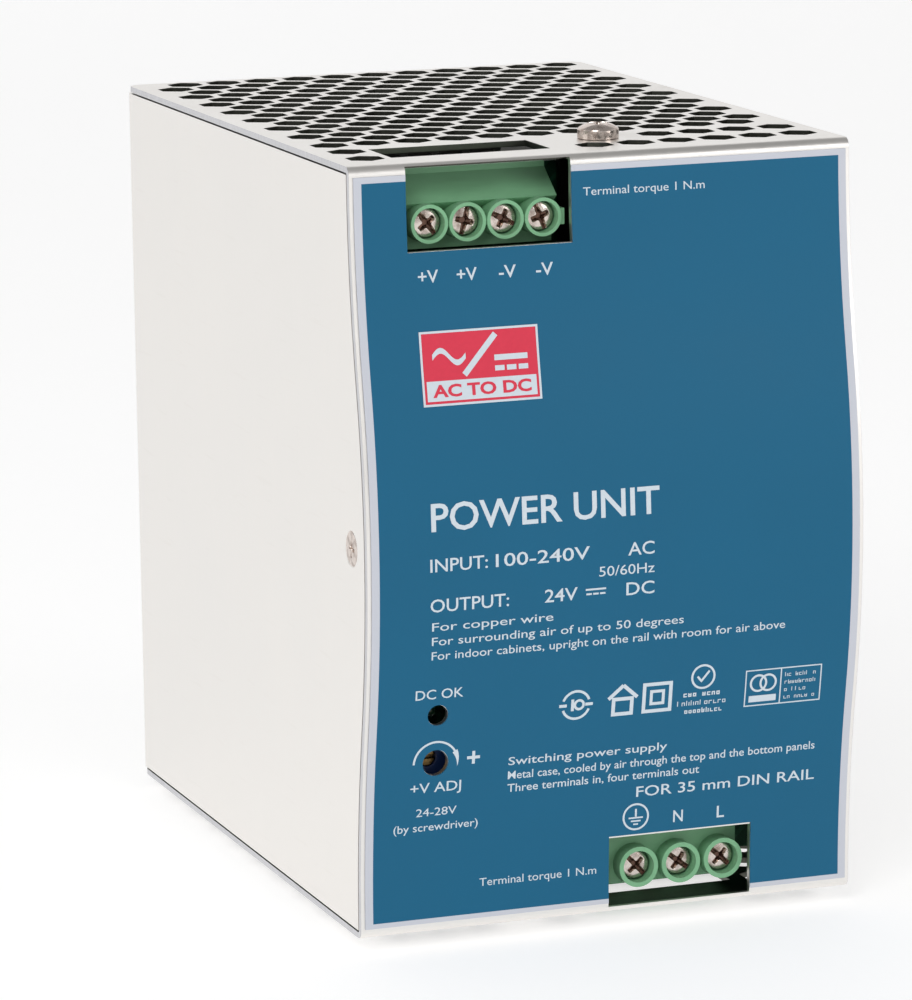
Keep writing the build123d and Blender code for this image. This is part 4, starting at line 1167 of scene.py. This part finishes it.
# ---------------------------------------------------------------- windings
def ring_winding(shell, y, z, x0, x1, inner, outer, wire, start, sweep, sides):
    """Wire wound on a ring: the section of the ring, a rounded square in (distance from the
    ring's axis, x), is walked round once a turn while the place on the ring moves by sweep."""
    gap = wire / 2 + 0.12
    middle, half = (inner + outer) / 2, (outer - inner) / 2 + gap
    centre, deep = (x0 + x1) / 2, (x1 - x0) / 2 + gap
    turns = int(radians(sweep) * (inner - gap) / wire * 0.97)
    t = np.linspace(0, 1, turns * 28 + 1)
    phase = 2 * pi * turns * t
    ring = radians(start) + radians(sweep) * t
    squared = lambda wave: np.sign(wave) * np.abs(wave) ** 0.45
    reach = middle + half * squared(np.cos(phase))
    along = centre + deep * squared(np.sin(phase))
    path = np.stack([along, y + reach * np.cos(ring), z + reach * np.sin(ring)], axis=1)
    out_y, out_z = np.cos(ring), np.sin(ring)
    side = np.stack([
        squared(np.sin(phase)), out_y * squared(np.cos(phase)), out_z * squared(np.cos(phase))], axis=1)
    foot = np.linspace(BOARD_FACE - 0.1, path[0, 0], 5)[:-1]
    for row, order in ((0, 1), (-1, -1)):
        lead = np.stack([foot, np.full(4, path[row, 1]), np.full(4, path[row, 2])], axis=1)
        tie = np.tile([[0, out_y[row], out_z[row]]], (4, 1))
        path = np.concatenate([lead, path] if order > 0 else [path, lead[::-1]])
        side = np.concatenate([tie, side] if order > 0 else [side, tie])
    shell.tube(path, wire / 2, side, sides)


class SUPPLY_OT_windings(bpy.types.Operator):
    """Wind the ring chokes with real turns and wrap the transformer's coil in tape"""

    bl_idname = "supply.windings"
    bl_label = "Windings"

    def execute(self, context):
        sides = context.scene.supply_windings.sides
        copper = FINISHES["copper_wire"]
        for name, y, z, inner, outer, thick, skin in (
            ("boost_choke_winding", 72.6, 40, 8.5, 16.5, 13, 2.2),
            ("output_choke_winding", 100, 96, 5.5, 11.5, 9, 1.6),
        ):
            x1 = BOARD_FACE - 0.3 - skin
            shell = Shell()
            ring_winding(shell, y, z, x1 - thick, x1, inner, outer, skin * 0.78, 15, 330, sides)
            add_piece(f"{name}_turns", shell.mesh(name), [copper], "case", [name], 60)
        shell = Shell()
        for y in (44.5, 97):
            x1 = BOARD_FACE - 0.3 - 1.3
            for start in (15, 195):
                ring_winding(shell, y, 16, x1 - 8, x1, 4.5, 8.5, 0.95, start, 150, sides)
        name = "filter_choke_windings"
        add_piece(f"{name}_turns", shell.mesh(name), [copper], "case", [name], 60)
        self.taped_coil()
        return {"FINISHED"}

    def taped_coil(self):
        """Coil wrapped in tape: a section of three crowned laps carried round a rounded square
        whose corner radius grows with the distance from the bobbin's sleeve."""
        y, z = 70, 87
        x0, x1 = BOARD_FACE - 38.1 + 8.65, BOARD_FACE - 0.1 - 8.65
        laps = np.linspace(0, 1, 25)
        crown = 6.0 - 0.28 * np.abs(2 * ((laps * 3) % 1) - 1) ** 6
        section = np.concatenate([
            np.stack([x0 + (x1 - x0) * laps, crown], axis=1),
            [[x1, 5.0], [x1, 2.5], [x1, 0.12], [x0, 0.12], [x0, 2.5], [x0, 5.0]],
        ])
        t = np.linspace(0, 2 * pi, 96, endpoint=False)[:, None]
        reach = 9.4 + section[:, 1][None]
        power = np.interp(section[:, 1], [0, 6], [0.12, 0.42])[None]
        shape = lambda wave: np.sign(wave) * np.abs(wave) ** power
        grid = place(section[:, 0][None], y + reach * shape(np.cos(t)), z + reach * shape(np.sin(t)))
        shell = Shell()
        shell.grid(grid, ring_rows=True, ring_columns=True)
        mesh = shell.mesh("transformer_coil_taped")
        add_piece("transformer_coil_taped", mesh, [FINISHES["yellow_tape"]], "case",
                  ["transformer_coil"], 40)


# ---------------------------------------------------------------- capacitors
def can(shell, y, z, radius, height, vents):
    """Sleeved can lying along X: a turned profile with a rolled groove at its foot, a sleeve
    lip over the end, and an end disc whose vent lines are pressed in along a few radii."""
    foot = BOARD_FACE - 0.1
    top = foot - height
    lip = radius * 0.86
    side = np.array([
        (lip, top + 0.35), (lip, top + 0.08), (radius - 0.35, top),
        (radius - 0.08, top + 0.22), (radius, top + 0.7),
        (radius, foot - 4.4), (radius - 0.4, foot - 3.9),
        (radius - 0.5, foot - 3.6), (radius - 0.4, foot - 3.3),
        (radius, foot - 2.8), (radius, foot - 0.5), (radius - 0.4, foot), (0, foot),
    ])
    t = np.linspace(0, 2 * pi, 49)[:-1]
    grid = place(
        side[:, 1][:, None], y + side[:, 0][:, None] * np.cos(t), z + side[:, 0][:, None] * np.sin(t))
    stripe = (np.cos(t - 2.2) > 0.93)[None, :] & (side[:-1, 1] > top + 0.5)[:, None]
    shell.grid(grid, ring_columns=True, mark=np.where(stripe, 2, 0))
    lines = 2 * pi * np.arange(vents) / vents + 0.5
    around = np.concatenate([np.linspace(0, 2 * pi, 37)[:-1], *(lines + d for d in (-0.05, 0, 0.05))])
    t = np.sort(around % (2 * pi))
    near = np.min(np.abs((t[:, None] - lines[None] + pi) % (2 * pi) - pi), axis=1)
    share = np.array([1.0, 0.8, 0.75, 0.4, 0.1, 0.0])[:, None]
    pressed = 0.18 * np.clip(1 - near / 0.05, 0, 1)[None] * ((share > 0.05) & (share < 0.78))
    end = place(top + 0.35 + pressed, y + lip * share * np.cos(t), z + lip * share * np.sin(t))
    shell.grid(end, ring_columns=True, mark=1)


class SUPPLY_OT_capacitors(bpy.types.Operator):
    """Turn the sleeved cans with vent lines and polarity stripes"""

    bl_idname = "supply.capacitors"
    bl_label = "Capacitors"

    def execute(self, context):
        sleeve = FINISHES["capacitor_sleeve"]
        end = milled_aluminium("can_aluminium", srgb(210, 211, 212))
        stripe = moulding("sleeve_stripe", srgb(150, 152, 158), 0.3)
        for name, places, radius, height, vents in (
            ("bulk_capacitors", [(104, 38), (104, 64)], 12.0, 46, 3),
            ("output_capacitors", [(y, z) for y in (32, 43.5) for z in (80, 91.5, 103)], 5.0, 25, 4),
        ):
            shell = Shell()
            for y, z in places:
                can(shell, y, z, radius, height, vents)
            mesh = shell.mesh(f"{name}_sleeved")
            add_piece(f"{name}_sleeved", mesh, [sleeve, end, stripe], "case", [name], 30)
        return {"FINISHED"}


# ---------------------------------------------------------------- spring
class SUPPLY_OT_spring(bpy.types.Operator):
    """Coil the latch's spring at one length; the real spring shortens as the latch is pulled down."""

    bl_idname = "supply.latch_spring"
    bl_label = "Latch spring"

    def execute(self, context):
        low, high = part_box("latch_spring")
        radius, wire = 1.4, 0.3
        t = np.linspace(0, 1, 260)
        z0 = low.z / MM + RAIL_HEIGHT + wire
        z1 = high.z / MM + RAIL_HEIGHT - wire
        turns = 8.5
        # Height: closed turns at both ends, even pitch between them.
        rise = np.interp(t * turns, [0, 1, turns - 1, turns], [0, 0.6, z1 - z0 - 0.6, z1 - z0])
        angle = 2 * pi * turns * t
        y = SEAT_BACK + 2.1
        path = np.stack([radius * np.cos(angle), y + radius * np.sin(angle), z0 + rise], axis=1)
        side = np.stack([np.cos(angle), np.sin(angle), 0 * angle], axis=1)
        shell = Shell()
        shell.tube(path, wire, side, 10)
        spring = add_piece(
            "latch_spring_coil", shell.mesh("latch_spring_coil"), [FINISHES["spring_steel"]],
            "case", ["latch_spring"], 60,
        )
        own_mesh(spring)
        return {"FINISHED"}


# ---------------------------------------------------------------- stage
class SUPPLY_OT_studio(bpy.types.Operator):
    """Set the pale floor, the soft lights and the camera"""

    bl_idname = "supply.studio"
    bl_label = "Studio"

    def execute(self, context):
        look = context.scene.supply_studio
        self.floor()
        self.lights(look)
        self.camera(look)
        return {"FINISHED"}

    def floor(self):
        """Paper sweep: flat floor that turns up through a quarter circle into a wall."""
        low = CAD_BOX[0].z / MM + RAIL_HEIGHT
        bend = np.linspace(0, pi / 2, 17)
        y = np.concatenate([[-3500.0], 1500 + 900 * np.sin(bend), [2400.0]])
        z = np.concatenate([[0.0], 900 - 900 * np.cos(bend), [2600.0]]) + low
        grid = place(np.array([[3500.0, -3500.0]]), y[:, None], z[:, None])
        shell = Shell()
        shell.grid(grid)
        mesh = shell.mesh("floor_sweep", closed=False)
        mesh.materials.append(studio_white())
        mesh.shade_smooth()
        floor = bpy.data.objects.new("floor_sweep", mesh)
        bpy.context.scene.collection.objects.link(floor)

    def lights(self, look):
        """Surroundings that are bright round the horizon, dimmer overhead and at the front, and
        white where the camera looks straight at them; then the soft boxes."""
        world = bpy.data.worlds.new("studio")
        world.use_nodes = True
        tree = world.node_tree
        place_node = tree.nodes.new("ShaderNodeTexCoord")
        split = tree.nodes.new("ShaderNodeSeparateXYZ")
        tree.links.new(place_node.outputs["Generated"], split.inputs["Vector"])
        glow = None
        for letter, low, high, dim in (("Z", 0.25, 0.8, look.overhead), ("Y", -0.2, -0.75, look.ahead)):
            ramp = tree.nodes.new("ShaderNodeMapRange")
            tree.links.new(split.outputs[letter], ramp.inputs["Value"])
            ramp.inputs["From Min"].default_value = low
            ramp.inputs["From Max"].default_value = high
            ramp.inputs["To Min"].default_value = 1.0
            ramp.inputs["To Max"].default_value = dim
            if glow is None:
                glow = ramp.outputs["Result"]
                continue
            both = tree.nodes.new("ShaderNodeMath")
            both.operation = "MULTIPLY"
            tree.links.new(glow, both.inputs[0])
            tree.links.new(ramp.outputs["Result"], both.inputs[1])
            glow = both.outputs["Value"]
        scaled = tree.nodes.new("ShaderNodeMath")
        scaled.operation = "MULTIPLY"
        scaled.inputs[1].default_value = look.fill
        tree.links.new(glow, scaled.inputs[0])
        seen = tree.nodes.new("ShaderNodeLightPath").outputs["Is Camera Ray"]
        strength = tree.nodes.new("ShaderNodeMath")
        strength.operation = "MAXIMUM"
        tree.links.new(scaled.outputs["Value"], strength.inputs[0])
        tree.links.new(seen, strength.inputs[1])
        background = tree.nodes["Background"]
        background.inputs["Color"].default_value = (1, 1, 1, 1)
        tree.links.new(strength.outputs["Value"], background.inputs["Strength"])
        bpy.context.scene.world = world
        target = Vector((0, -0.06, 0))
        for name, spot, size, power in (
            ("key", (-0.7, -1.0, 0.9), 0.7, look.key),
            ("side", (-1.4, 0.1, 0.45), 0.9, look.side),
            ("front", (0.9, -1.3, 0.45), 0.7, look.front),
        ):
            lamp = bpy.data.lights.new(name, "AREA")
            lamp.shape = "SQUARE"
            lamp.size = size
            lamp.energy = power
            holder = bpy.data.objects.new(name, lamp)
            bpy.context.scene.collection.objects.link(holder)
            spot = Vector(spot)
            turn = (target - spot).to_track_quat("-Z", "Y")
            holder.matrix_world = Matrix.Translation(spot) @ turn.to_matrix().to_4x4()

    def camera(self, look):
        """Camera low on the left, a long way off, looking slightly down."""
        lens = bpy.data.cameras.new("camera")
        lens.sensor_width = 36
        lens.lens = look.focal
        lens.clip_start = 0.05
        lens.clip_end = 20
        lens.shift_x = 0.0025
        lens.shift_y = -0.0029
        holder = bpy.data.objects.new("camera", lens)
        bpy.context.scene.collection.objects.link(holder)
        turn = Matrix.Rotation(radians(-19.9143), 4, "Z") @ Matrix.Rotation(radians(0.7359), 4, "Y")
        turn = turn @ Matrix.Rotation(radians(78.9036), 4, "X")
        holder.matrix_world = Matrix.Translation((-0.310567, -0.916348, 0.172057)) @ turn
        bpy.context.scene.camera = holder
        bpy.context.scene.view_settings.view_transform = "Standard"


OPERATORS = (
    SUPPLY_OT_finishes,
    SUPPLY_OT_print,
    SUPPLY_OT_terminals,
    SUPPLY_OT_hardware,
    SUPPLY_OT_windings,
    SUPPLY_OT_capacitors,
    SUPPLY_OT_spring,
    SUPPLY_OT_studio,
)


class SUPPLY_PT_panel(bpy.types.Panel):
    """Lists the pieces and their settings"""

    bl_idname = "SUPPLY_PT_panel"
    bl_label = "Power supply"
    bl_space_type = "VIEW_3D"
    bl_region_type = "UI"
    bl_category = "Power supply"

    def draw(self, context):
        for name, group in SETTINGS.items():
            box = self.layout.box()
            box.label(text=name.replace("supply_", "").capitalize())
            for key in group.__annotations__:
                box.prop(getattr(context.scene, name), key)
        for operator in OPERATORS:
            self.layout.operator(operator.bl_idname)


CLASSES = (*SETTINGS.values(), *OPERATORS, SUPPLY_PT_panel)


def register():
    for entry in CLASSES:
        bpy.utils.register_class(entry)
    for name, group in SETTINGS.items():
        setattr(bpy.types.Scene, name, PointerProperty(type=group))


def unregister():
    for name in SETTINGS:
        delattr(bpy.types.Scene, name)
    for entry in reversed(CLASSES):
        bpy.utils.unregister_class(entry)


def main():
    register()
    bpy.ops.supply.finishes()
    bpy.ops.supply.front_print()
    bpy.ops.supply.terminals()
    bpy.ops.supply.hardware()
    bpy.ops.supply.windings()
    bpy.ops.supply.capacitors()
    bpy.ops.supply.latch_spring()
    bpy.ops.supply.studio()


if __name__ == "__main__":
    main()
